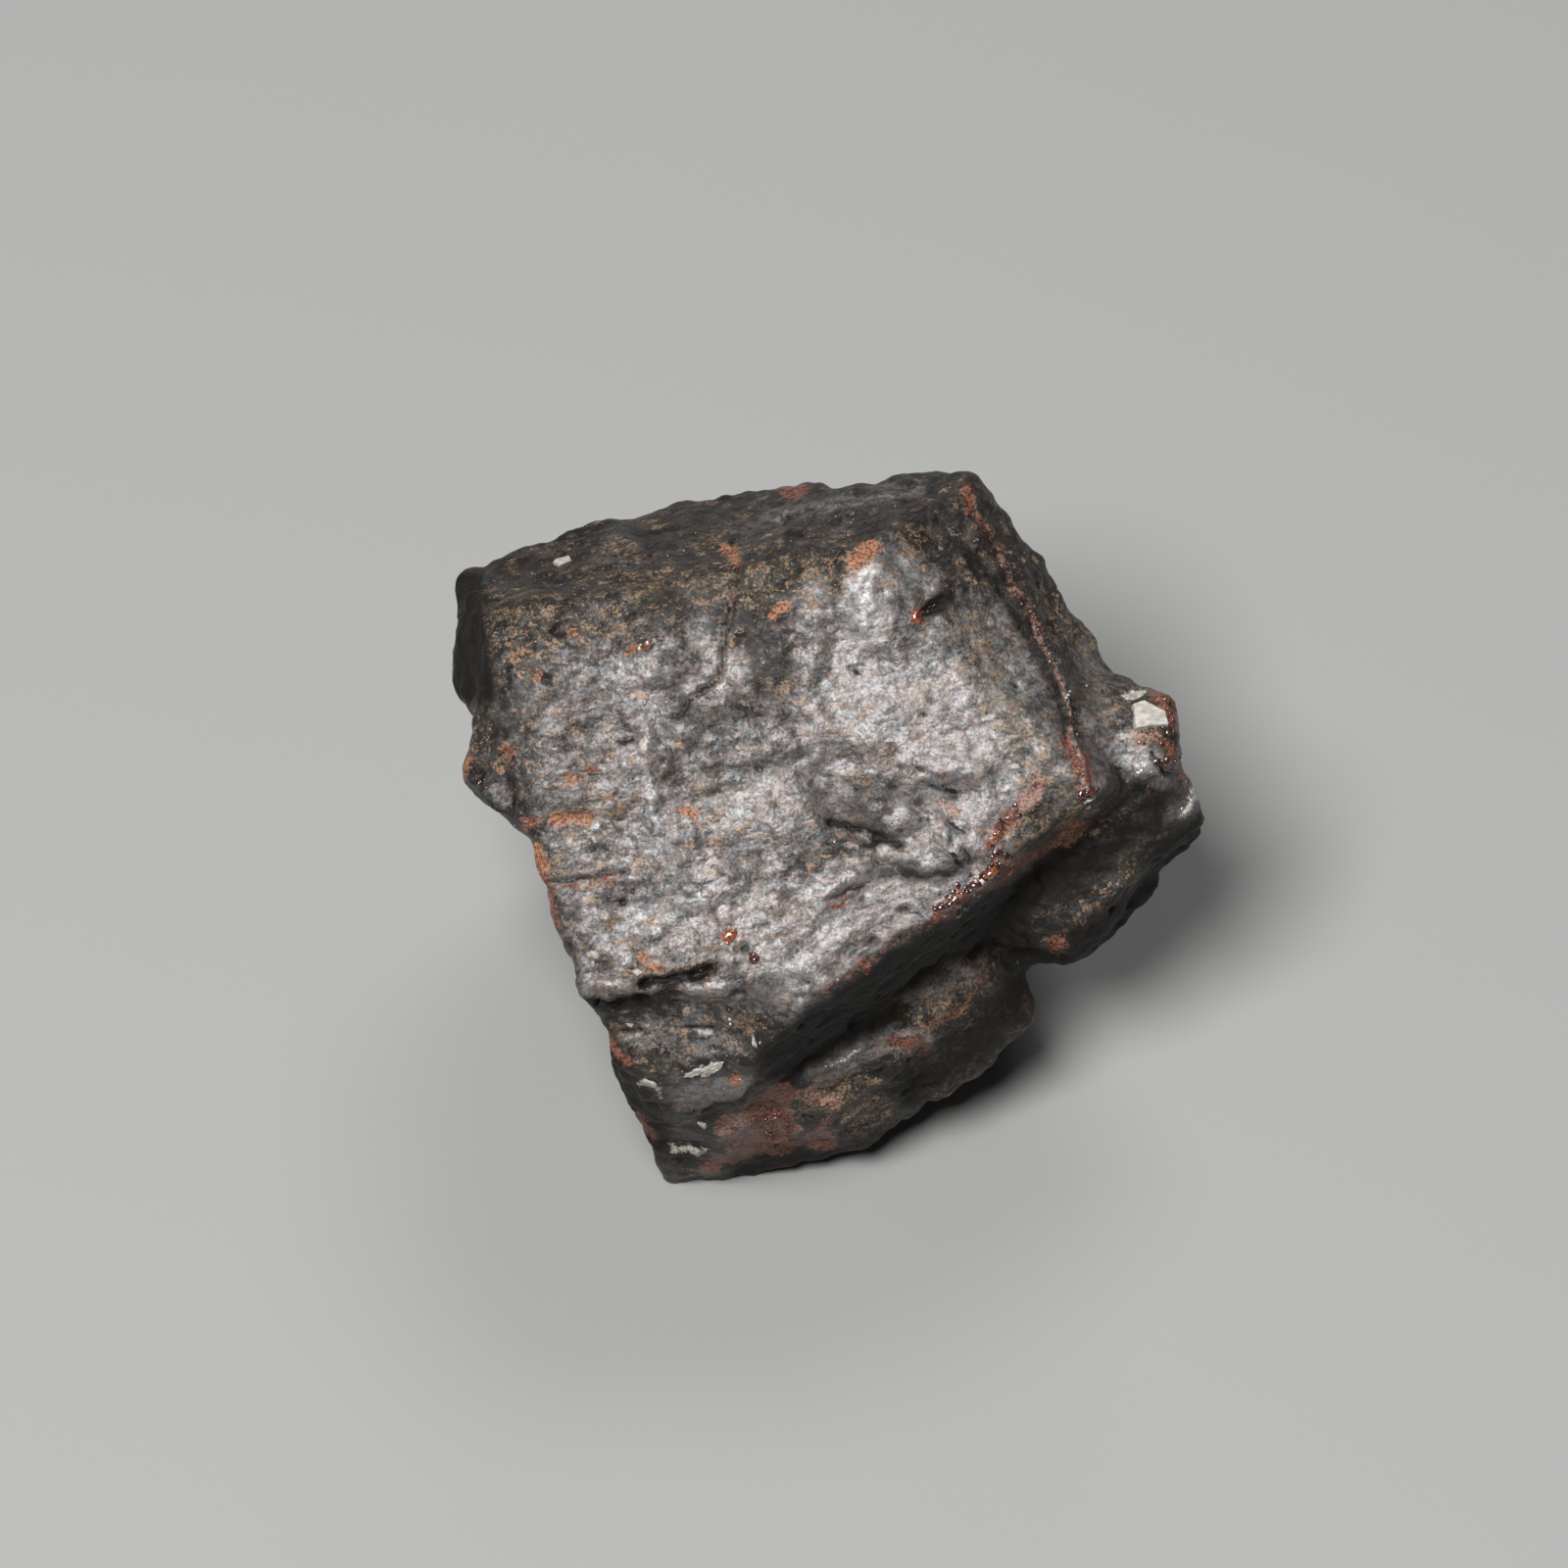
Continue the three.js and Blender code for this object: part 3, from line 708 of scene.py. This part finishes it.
def modified(piece, kind, **settings):
    """A piece's mesh after one modifier; the piece itself is taken away."""
    step = piece.modifiers.new(kind, kind)
    for key, value in settings.items():
        setattr(step, key, value)
    mesh = bpy.data.meshes.new_from_object(piece.evaluated_get(bpy.context.evaluated_depsgraph_get()))
    bpy.data.objects.remove(piece)
    return mesh


def remeshed(node):
    """The node's shape as an even mesh in the crystal's frame."""
    mesh = node.data.copy()
    mesh.transform(TO_CRYSTAL)
    bm = bmesh.new()
    bm.from_mesh(mesh)
    bmesh.ops.remove_doubles(bm, verts=bm.verts, dist=WELD)
    bm.to_mesh(mesh)
    bm.free()
    return modified(link("raw", mesh), "REMESH", mode="VOXEL", voxel_size=VOXEL)


def thinned(mesh):
    """The mesh with larger triangles on the side that looks away from the camera."""
    rear = np.flatnonzero(normals_of(mesh)[:, 2] < REAR_LEVEL)
    raw = link("raw", mesh)
    raw.vertex_groups.new(name="rear").add(rear.tolist(), 1.0, "REPLACE")
    return modified(raw, "DECIMATE", ratio=REAR_SHARE, vertex_group="rear")


def smoothed(points, edges, turns):
    a, b = edges[:, 0], edges[:, 1]
    count = np.bincount(a, minlength=len(points)) + np.bincount(b, minlength=len(points))
    for _ in range(turns):
        total = np.empty_like(points)
        for axis in range(3):
            sum_a = np.bincount(a, weights=points[b, axis], minlength=len(points))
            sum_b = np.bincount(b, weights=points[a, axis], minlength=len(points))
            total[:, axis] = sum_a + sum_b
        points = points + SMOOTH_SHARE * (total / count[:, None] - points)
    return points


def worn(mesh):
    """The mesh's points, smoothed and then with their edges drawn out again."""
    edges = edges_of(mesh)
    points = smoothed(points_of(mesh), edges, SMOOTH_TURNS)
    return points + SHARPENING * (points - smoothed(points, edges, SHARPEN_TURNS))


def stripes(points, angle, seed):
    along = points[:, 0] * math.cos(angle) + points[:, 1] * math.sin(angle)
    across = points[:, 1] * math.cos(angle) - points[:, 0] * math.sin(angle)
    deep = points[:, 2] / STRIPE_WIDTH / STRIPE_DEPTH
    return noise_at(np.column_stack((along / STRIPE_LENGTH, across / STRIPE_WIDTH, deep)), seed)


def skin_height(points, normals):
    """How far each point of the skin moves out, in mm."""
    seen = wandering(sight(points))
    height = np.zeros(len(points))
    calm = 1 - CALMING * np.clip(zone_values(seen, normals, CLEAN_AND_SHEEN), 0, 1)
    for k, (size, tall) in enumerate(LUMPS):
        height += tall * calm * noise_at(points / size, k * LUMP_SEED_STEP + LUMP_SEED)
    rightness = np.clip((normals[:, 0] - TURN_FROM) / TURN_OVER, 0, 1)
    left = stripes(points, STRIPES_LEFT, STRIPE_SEEDS[0])
    right = stripes(points, STRIPES_RIGHT, STRIPE_SEEDS[1])
    height += STRIPE_HEIGHT * (left * (1 - rightness) + right * rightness)
    towards = facing(normals, RELIEF_FACING)
    for gap, half, tall in gaps(seen, RELIEF):
        height += tall * towards * faded(gap, half)
    return height


def pitted(points, height):
    """The height, with small round pits sunk at random places."""
    rng = random.Random(PIT_SEED)
    tree = KDTree(len(points))
    for i, point in enumerate(points):
        tree.insert(point, i)
    tree.balance()
    for _ in range(PIT_COUNT):
        centre = points[rng.randrange(len(points))]
        radius = rng.uniform(*PIT_RADIUS)
        depth = rng.uniform(*PIT_DEPTH)
        for _, i, gap in tree.find_range(centre, radius):
            height[i] -= depth * (1 - (gap / radius) ** 2)
    return height


def zone_values(seen, normals, marks):
    """Soft blots, full in the middle and gone at one and a half times their half width."""
    towards = facing(normals, ZONE_FACING)
    value = np.zeros(len(seen))
    for gap, half, strength in gaps(seen, marks):
        value = np.maximum(value, strength * towards * faded(gap, half * ZONE_SPREAD))
    return value


def stain_and_painted_light_values(seen, normals, marks):
    """Blots whose value passes one half near their edge, which the material then draws sharply."""
    towards = facing(normals, ZONE_FACING)
    value = np.zeros(len(seen))
    for gap, half, strength in gaps(seen, marks):
        inside = np.clip(0.5 + (half - gap) / STAIN_EDGE - (1 - strength) * STAIN_THINNING, 0, 1)
        value = np.maximum(value, inside * towards)
    return value


def hollowness(mesh, points, normals):
    sunk = smoothed(points, edges_of(mesh), HOLLOW_TURNS) - points
    depth = (sunk * normals).sum(axis=1) / HOLLOW_DEPTH
    return np.clip(depth, 0, 1)


def mark_skin(mesh, points):
    """Writes what the material reads: the values of all zones and stains, and the hollows, darkened as
    painted shade.
    """
    normals = normals_of(mesh)
    seen = wandering(sight(points))
    values = {name: zone_values(seen, normals, marks) for name, marks in ZONES.items()}
    values.update({name: stain_and_painted_light_values(seen, normals, marks) for name, marks in STAINS_AND_PAINTED_LIGHT.items()})
    values["hollow"] = hollowness(mesh, points, normals)
    for name, value in values.items():
        layer = mesh.attributes.new(name, "FLOAT", "POINT")
        layer.data.foreach_set("value", value.astype(np.float32))


def make_skin(node):
    """The crystal's skin, and a tree that finds where a line of sight meets it."""
    mesh = remeshed(node)
    points = worn(mesh)
    set_points(mesh, points)
    normals = normals_of(mesh)
    set_points(mesh, points + normals * pitted(points, skin_height(points, normals))[:, None])
    mesh = thinned(mesh)
    points = points_of(mesh)
    mark_skin(mesh, points)
    tree = BVHTree.FromPolygons([Vector(p) for p in points], [tuple(f.vertices) for f in mesh.polygons])
    mesh.transform(TO_WORLD)
    world = points_of(mesh)
    world[:, 2] = np.maximum(world[:, 2], 0)
    set_points(mesh, world)
    mesh.shade_smooth()
    return link("crystal_skin", mesh), tree


def hit(tree, seen):
    """The point of the skin that the camera sees at a place, and the skin's normal there."""
    eye = Vector((0, 0, CAMERA_DISTANCE))
    way = Vector((seen[0], seen[1], 0)) - eye
    place, normal, _, _ = tree.ray_cast(eye, way.normalized())
    return place, normal


def add_grain(bm, rng, place, normal, size):
    """One jagged lump, sunk into the skin."""
    made = bmesh.ops.create_icosphere(bm, subdivisions=2, radius=1)["verts"]
    turn = Matrix.Rotation(rng.uniform(0, math.tau), 3, normal)
    tilt = Vector((rng.gauss(0, 1), rng.gauss(0, 1), rng.gauss(0, 1))).normalized()
    spin = Matrix.Rotation(rng.uniform(0, math.tau), 3, tilt)
    stretch = [rng.uniform(*limits) for limits in GRAIN_STRETCH]
    for vert in made:
        jagged = vert.co * rng.uniform(*GRAIN_RAGGED)
        shaped = Vector([jagged[k] * stretch[k] for k in range(3)]) * (size / 2)
        vert.co = place + turn @ spin @ shaped - normal * size * GRAIN_SINK


def make_grains(name, groups, tree, seed):
    rng = random.Random(seed)
    bm = bmesh.new()
    for spread, count, small, large, path in groups.values():
        corners = from_pixels(path)
        for _ in range(count):
            k = rng.randrange(max(len(corners) - 1, 1))
            seen = corners[k] + rng.random() * (corners[min(k + 1, len(corners) - 1)] - corners[k])
            seen = seen + np.array([rng.gauss(0, spread / 2), rng.gauss(0, spread / 2)])
            place, normal = hit(tree, seen)
            size = rng.uniform(small, large)
            if place is not None:
                add_grain(bm, rng, place, normal, size)
    mesh = mesh_from(bm, name)
    mesh.transform(TO_WORLD)
    mesh.shade_smooth()
    return link(name, mesh)


def add_plate(bm, outline, thickness, tree, rng):
    """A thin flat plate that lies on the skin, with its foot under it."""
    hits = [hit(tree, corner) for corner in from_pixels(outline)]
    hits = [(place, normal) for place, normal in hits if place is not None]
    normal = sum((n for _, n in hits), Vector()).normalized()
    middle = sum((p for p, _ in hits), Vector()) / len(hits)
    top = []
    foot = []
    for place, _ in hits:
        flat = place - normal * (place - middle).dot(normal) * PLATE_FLATNESS
        rise = thickness * rng.uniform(*PLATE_RISE)
        top.append(bm.verts.new(flat + normal * rise))
        foot.append(bm.verts.new(place + (place - middle) * PLATE_FOOT - normal * thickness))
    crown = bm.verts.new(middle + normal * thickness * PLATE_CROWN)
    for k in range(len(top)):
        after = (k + 1) % len(top)
        bm.faces.new((top[k], top[after], crown))
        bm.faces.new((foot[k], foot[after], top[after], top[k]))
    bm.faces.new(list(reversed(foot)))


def crust_outline(path, half, rng):
    """A ragged closed outline round a path, in mm of the view."""
    corners = from_pixels(path)
    middle = corners.mean(axis=0)
    run = corners[-1] - corners[0]
    length = np.linalg.norm(run)
    along = run / length
    across = np.array([-along[1], along[0]])
    bend = corners[len(corners) // 2] - middle
    outline = []
    for k in range(CRUST_SIDES):
        angle = math.tau * k / CRUST_SIDES
        reach = along * math.cos(angle) * (length / 2 + half) + across * math.sin(angle) * half
        outline.append(middle + reach * rng.uniform(*CRUST_RAGGED) + bend * abs(math.sin(angle)))
    return middle, outline


def add_crust(bm, path, half, thickness, tree, rng):
    """A ragged crust, built as rings that rise from under the skin to its middle."""
    middle, outline = crust_outline(path, half, rng)
    rings = []
    for share, rise in CRUST_RINGS:
        ring = []
        for corner in outline:
            place, normal = hit(tree, middle + (corner - middle) * share)
            if place is None:
                return
            ring.append(bm.verts.new(place + normal * thickness * rise * rng.uniform(*CRUST_UNEVEN)))
        rings.append(ring)
    for outer, inner in zip(rings[:-1], rings[1:]):
        for k in range(CRUST_SIDES):
            after = (k + 1) % CRUST_SIDES
            bm.faces.new((outer[k], outer[after], inner[after], inner[k]))
    bm.faces.new(rings[-1])
    bm.faces.new(list(reversed(rings[0])))


def make_pale_mineral(tree):
    rng = random.Random(MINERAL_SEED)
    bm = bmesh.new()
    for thickness, outline in PLATES.values():
        add_plate(bm, outline, thickness, tree, rng)
    for half, thickness, path in CRUSTS.values():
        add_crust(bm, path, half, thickness, tree, rng)
    bmesh.ops.recalc_face_normals(bm, faces=bm.faces)
    mesh = mesh_from(bm, "pale_mineral")
    mesh.transform(TO_WORLD)
    return link("pale_mineral", mesh)


class Value:
    """What a node puts out, ready to stand in a sum."""

    def __init__(self, nodes, socket):
        self.nodes = nodes
        self.socket = socket

    def __add__(self, other):
        return self.nodes.math("ADD", self, other)

    def __sub__(self, other):
        return self.nodes.math("SUBTRACT", self, other)

    def __rsub__(self, other):
        return self.nodes.math("SUBTRACT", other, self)

    def __mul__(self, other):
        return self.nodes.math("MULTIPLY", self, other)

    def sibling(self, name):
        """Another output of the same node."""
        return Value(self.nodes, self.socket.node.outputs[name])


class Nodes:
    """A short way to write a material's node tree."""

    def __init__(self, name):
        self.material = bpy.data.materials.new(name)
        self.material.use_nodes = True
        self.tree = self.material.node_tree
        self.tree.nodes.clear()

    def add(self, kind, inputs, output=0, **settings):
        """A new node, as the value of one of its outputs."""
        node = self.tree.nodes.new("ShaderNode" + kind)
        for key, value in settings.items():
            setattr(node, key, value)
        for key, value in inputs.items():
            if isinstance(value, Value):
                self.tree.links.new(value.socket, node.inputs[key])
            else:
                node.inputs[key].default_value = value
        return Value(self, node.outputs[output])

    def math(self, operation, a, b, clamp=False):
        return self.add("Math", {0: a, 1: b}, operation=operation, use_clamp=clamp)

    def vector(self, operation, a, b=(0.0, 0.0, 0.0)):
        return self.add("VectorMath", {0: a, 1: b}, operation=operation)

    def scaled(self, vector, factors):
        return self.vector("MULTIPLY", vector, factors)

    def centred(self, tint, size):
        """A colour as a vector of the given size that points any way."""
        return self.scaled(self.vector("SUBTRACT", tint, (0.5, 0.5, 0.5)), (size, size, size))

    def cells(self, vector, scale):
        """Cells round scattered points: the distance to the cell's point, and its random colour."""
        gap = self.add("TexVoronoi", {"Vector": vector, "Scale": scale}, "Distance", voronoi_dimensions="3D")
        return gap, gap.sibling("Color")

    def parts(self, tint):
        """A colour's three parts."""
        red = self.add("SeparateColor", {"Color": tint})
        return [red.sibling(k) for k in range(3)]

    def noise(self, vector, scale, detail, roughness):
        inputs = {"Vector": vector, "Scale": scale, "Detail": detail, "Roughness": roughness}
        return self.add("TexNoise", inputs, "Fac")

    def ramp(self, value, low, high):
        inputs = {"Value": value, "From Min": low, "From Max": high}
        return self.add("MapRange", inputs, interpolation_type="SMOOTHSTEP")

    def step(self, value, level):
        return self.ramp(value, level, level + STEP_WIDTH)

    def mix(self, share, a, b):
        return self.add("Mix", {0: share, 6: a, 7: b}, 2, data_type="RGBA")

    def attribute(self, name):
        return self.add("Attribute", {}, "Fac", attribute_name=name)

    def crystal_place(self):
        """Where the surface is in the crystal's frame, in mm."""
        place = self.scaled(self.add("TexCoord", {}, "Object"), (1 / MM,) * 3)
        return self.add("Mapping", {"Vector": place, "Rotation": (-TIP, 0, 0)})

    def finish(self, inputs):
        """Ends the material in one shader."""
        end = self.tree.nodes.new("ShaderNodeOutputMaterial")
        shader = self.add("BsdfPrincipled", inputs)
        self.tree.links.new(shader.socket, end.inputs["Surface"])
        return self.material


def rutile_patterns(n):
    """The patterns that the rutile's colours and its bumps share."""
    p = SimpleNamespace(place=n.crystal_place())
    p.run = n.add("Mapping", {"Vector": p.place, "Rotation": (0, 0, -STRIPES_LEFT)})
    stray = n.centred(n.noise(p.place, *STRAYING).sibling("Color"), 0.4)
    strayed = n.vector("ADD", p.place, stray)
    stretched = n.scaled(p.run, (0.65, 1.25, 1.0))
    p.patch_gap, patch_tint = n.cells(n.vector("ADD", stretched, stray), PATCH_CELLS)
    p.patch = n.parts(patch_tint)
    p.grain_gap, p.grain_tint = n.cells(strayed, GRAIN_CELLS)
    p.grain = n.parts(p.grain_tint)
    p.spark_tint = n.cells(strayed, SPARK_CELLS)[1]
    p.dirt = n.noise(n.scaled(p.run, (0.5, 1.3, 1.1)), *DIRT)
    p.crumbs = n.noise(p.place, *CRUMBS)
    p.fine = n.noise(p.place, *FINE)
    p.blotch = n.noise(p.place, *BLOTCHES)
    p.uneven = p.blotch - 0.5
    p.broad = n.noise(n.scaled(p.run, (0.7, 1.4, 1.0)), *BROAD)
    p.clean = n.attribute("clean")
    # Painted shade in the hollows: how much they are darkened.
    p.hollow = n.ramp(n.attribute("hollow"), 0.35, 1.1)
    return p


def bare_rutile(n, p):
    """The crystal's colour, from black to silver, and how silvery it is; the silver is partly its own lustre
    and partly painted sheen.
    """
    ground = n.mix(n.step(p.patch[0], 0.45), STEEL, BRONZE)
    ground = n.mix(n.step(p.patch[1], 0.76), ground, ROSE)
    ground = n.mix(n.step(p.patch[2], 0.78), ground, COAL)
    ground = n.mix(n.ramp(p.blotch, 0.6, 0.42), ground, SOOT)
    ground = n.mix(n.ramp(p.broad, 0.5, 0.72) * 0.45, ground, HAZE)
    silver = n.mix(n.step(p.patch[0], 0.5), SILVER, WARM_SILVER)
    silver = n.mix(n.step(p.patch[1], 0.8), silver, TAN_SILVER)
    silver = n.mix(n.step(p.grain[2], 0.8), silver, DULL_SILVER)
    # Painted highlight: the silver goes towards near-white where the sheen zone is strongest.
    silver = n.mix(n.ramp(p.clean, 0.9, 1.5), silver, n.mix(0.4, silver, GLINT))
    clean_and_sheen_spread = p.clean + p.uneven * 0.7 + (p.crumbs - 0.5) * 0.8 + (p.patch[2] - 0.5) * -0.35
    # Less silver in the hollows, as painted shade.
    shine = n.ramp(clean_and_sheen_spread, -0.12, 0.68) * n.ramp(p.clean, 0.0, 0.25) * (1.0 - p.hollow)
    return n.mix(shine, ground, silver), shine


def with_ochre(n, p, look, shine):
    """Ochre crumbs, grime, dark seams and painted shade in the hollows on the bare rutile, and how much of
    it the ochre covers.
    """
    spread = n.attribute("rusty") * 0.5 - p.clean * 0.06 + p.uneven * 0.7 + (0.5 - p.broad) * 0.3
    patches = n.step(p.patch[1] + spread + p.dirt * 0.4, 1.14)
    grains = n.step(p.grain[1] + spread + p.dirt * 0.4, 1.16)
    share = n.math("MAXIMUM", patches, grains) * 0.72 * n.ramp(p.fine + p.grain[2] * 0.12, 0.44, 0.62)
    warmth = n.ramp(p.grain[0] + p.uneven * 2.0, 0.3, 0.9)
    look = n.mix(share, look, n.mix(warmth, OCHRE, ORANGE))
    grimy = n.ramp(p.fine, 0.56, 0.36) * (0.65 - shine * 0.25)
    look = n.mix(grimy, look, GRIME)
    seams = n.ramp(p.patch_gap, 0.45, 0.85) * 0.5
    # The seam colour also lies in the hollows as painted shade.
    return n.mix(n.math("MAXIMUM", seams, p.hollow * 0.75), look, SEAM_AND_HOLLOW_SHADE), share


def stained_or_painted_light(n, p, look, name, flakes, breaking=2.2, most=1.0):
    """The look under one kind of stain or painted light, which flakes break up, and how much of it the mark
    covers.
    """
    cover = n.attribute(name)
    share = n.ramp(cover + (flakes - 0.5) * breaking, 0.42, 0.62) * n.ramp(cover, 0.0, 0.2) * most
    dull, bright = STAIN_AND_PAINTED_LIGHT_COLOURS[name]
    tone = n.mix(n.ramp(p.fine + p.grain[0] * 0.15, 0.42, 0.7), dull, bright)
    return n.mix(share, look, tone), share


def rutile_normals(n, p):
    """The normals of the skin and of its thin wet coat."""
    lumps = n.noise(p.place, *LUMP_WAVES)
    knobs = n.noise(p.place, *KNOB_WAVES)
    lines = n.noise(n.scaled(p.run, (0.4, 4.0, 2.0)), *LINE_WAVES)
    heights = lumps * 0.6 + lines * 0.08 + knobs * 0.3 - p.patch_gap * 0.08 - p.grain_gap * 0.04
    bump = n.add("Bump", {"Height": heights, "Strength": 1.0, "Distance": RUTILE_BUMP})
    leaning = n.vector("ADD", n.centred(p.grain_tint, 0.3), n.centred(p.spark_tint, 0.95))
    skin = n.vector("ADD", bump, n.centred(p.grain_tint, 0.1))
    return [n.vector("NORMALIZE", normal) for normal in (skin, n.vector("ADD", bump, leaning))]


def rutile_material():
    n = Nodes("rutile")
    p = rutile_patterns(n)
    look, shine = bare_rutile(n, p)
    look, ochre = with_ochre(n, p, look, shine)
    greened = n.ramp(n.attribute("olive") + p.uneven * 1.5, 0.3, 1.0) * 0.5
    look = n.mix(greened, look, n.mix(n.ramp(p.crumbs, 0.4, 0.6), MOSS_DARK, MOSS_LIGHT))
    shaded = n.ramp(n.attribute("shade") + p.uneven * 0.6, 0.1, 0.85)
    look = n.mix(shaded * 0.95, look, SHADOW)
    look, rust = stained_or_painted_light(n, p, look, "rust", p.dirt)
    look, pink = stained_or_painted_light(n, p, look, "pink", p.dirt * 0.6 + p.blotch * 0.4, breaking=3.2, most=0.8)
    look, red = stained_or_painted_light(n, p, look, "red", p.dirt)
    look, cream = stained_or_painted_light(n, p, look, "cream", p.crumbs)
    # Painted shade in pits, cracks and under steps.
    look, dark = stained_or_painted_light(n, p, look, "dark", p.crumbs, breaking=0.8)
    covered = n.math("ADD", rust + greened, red + dark + cream, clamp=True)
    covered = n.math("ADD", covered, pink, clamp=True)
    covered = n.math("MAXIMUM", n.math("MAXIMUM", covered, ochre), shaded)
    rough = n.ramp(p.clean, 0.5, 1.2) * 0.08 + RUTILE_ROUGHNESS - red * 0.15
    normal, coat_normal = rutile_normals(n, p)
    return n.finish({
        "Base Color": look,
        "Metallic": (shine * 0.7 + RUTILE_METAL) * (1.0 - covered),
        "Roughness": n.math("ADD", rough, (rust + shaded) * 0.2, clamp=True),
        "IOR": 1.5,
        "Normal": normal,
        "Specular IOR Level": 0.22,
        "Coat Weight": n.math("SUBTRACT", RUTILE_COAT, shaded * 0.3, clamp=True),
        "Coat Roughness": 0.1,
        "Coat Normal": coat_normal,
    })


def mineral_material(n, mottle, bright_from, deep, bright, roughness, ior):
    """A mineral whose mottle both mixes its two colours and raises its bumps."""
    return n.finish({
        "Base Color": n.mix(n.ramp(mottle, DEEP_UP_TO, bright_from), deep, bright),
        "Roughness": roughness,
        "IOR": ior,
        "Normal": n.add("Bump", {"Height": mottle, "Strength": 0.5, "Distance": MINERAL_BUMP}),
    })


def grain_material(name, tint, roughness):
    n = Nodes(name)
    mottle = n.noise(n.crystal_place(), *GRAIN_MOTTLE)
    deep = [part * DEEP_SHARE for part in tint[:3]] + [1]
    return mineral_material(n, mottle, 0.65, deep, tint, roughness, ior=2.0)


def pale_material():
    n = Nodes("pale_mineral")
    mottle = n.noise(n.scaled(n.crystal_place(), (1.0, 2.0, 1.0)), *PALE_MOTTLE)
    return mineral_material(n, mottle, 0.7, PALE_DEEP, PALE_BRIGHT, roughness=0.4, ior=1.55)


def make_floor():
    bm = bmesh.new()
    bmesh.ops.create_grid(bm, x_segments=FLOOR_SQUARES, y_segments=FLOOR_SQUARES, size=FLOOR_REACH)
    mesh = mesh_from(bm, "floor")
    mesh.materials.append(Nodes("floor_paper").finish({"Base Color": PAPER, "Roughness": 0.8}))
    floor = link("floor", mesh)


def make_camera():
    data = bpy.data.cameras.new("camera")
    data.sensor_width = SENSOR
    data.lens = SENSOR * CAMERA_DISTANCE / VIEW_WIDTH
    data.clip_start, data.clip_end = CAMERA_REACH
    camera = link("camera", data)
    away = Matrix.Rotation(TIP, 4, "X") @ Matrix.Translation((0, 0, CAMERA_DISTANCE * MM))
    camera.matrix_world = Matrix.Translation(FACE_CENTRE * MM) @ away
    bpy.context.scene.camera = camera


def make_lights():
    target = FACE_CENTRE * MM
    for name, (way, distance, size, watts) in LAMPS.items():
        data = bpy.data.lights.new(name, "AREA")
        data.shape = "DISK"
        data.size = size * MM
        data.energy = watts
        light = link(name, data)
        light.location = target + Vector(way).normalized() * distance * MM
        light.rotation_euler = (target - light.location).to_track_quat("-Z", "Y").to_euler()
    world = bpy.data.worlds.new("studio")
    world.use_nodes = True
    background = world.node_tree.nodes["Background"]
    background.inputs["Color"].default_value = (1, 1, 1, 1)
    background.inputs["Strength"].default_value = WORLD_LIGHT
    bpy.context.scene.world = world


def dress(piece, material):
    piece.data.materials.clear()
    piece.data.materials.append(material)
    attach(piece, "root")


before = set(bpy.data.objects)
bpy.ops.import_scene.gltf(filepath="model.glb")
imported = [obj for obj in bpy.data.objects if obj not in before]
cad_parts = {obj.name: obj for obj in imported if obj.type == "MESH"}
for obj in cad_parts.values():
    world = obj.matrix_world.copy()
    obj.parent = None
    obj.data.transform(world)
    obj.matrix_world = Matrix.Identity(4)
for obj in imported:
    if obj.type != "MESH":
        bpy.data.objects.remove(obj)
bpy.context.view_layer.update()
make_camera()
skin, skin_tree = make_skin(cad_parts[NODE])
dress(skin, rutile_material())
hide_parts(NODE)
for kind, (groups, seed, tint, roughness) in GRAINS.items():
    piece = make_grains(f"{kind}_grains", groups, skin_tree, seed)
    dress(piece, grain_material(f"{kind}_grain", tint, roughness))
pale = make_pale_mineral(skin_tree)
dress(pale, pale_material())
make_floor()
make_lights()
bpy.context.scene.view_settings.view_transform = "Standard"
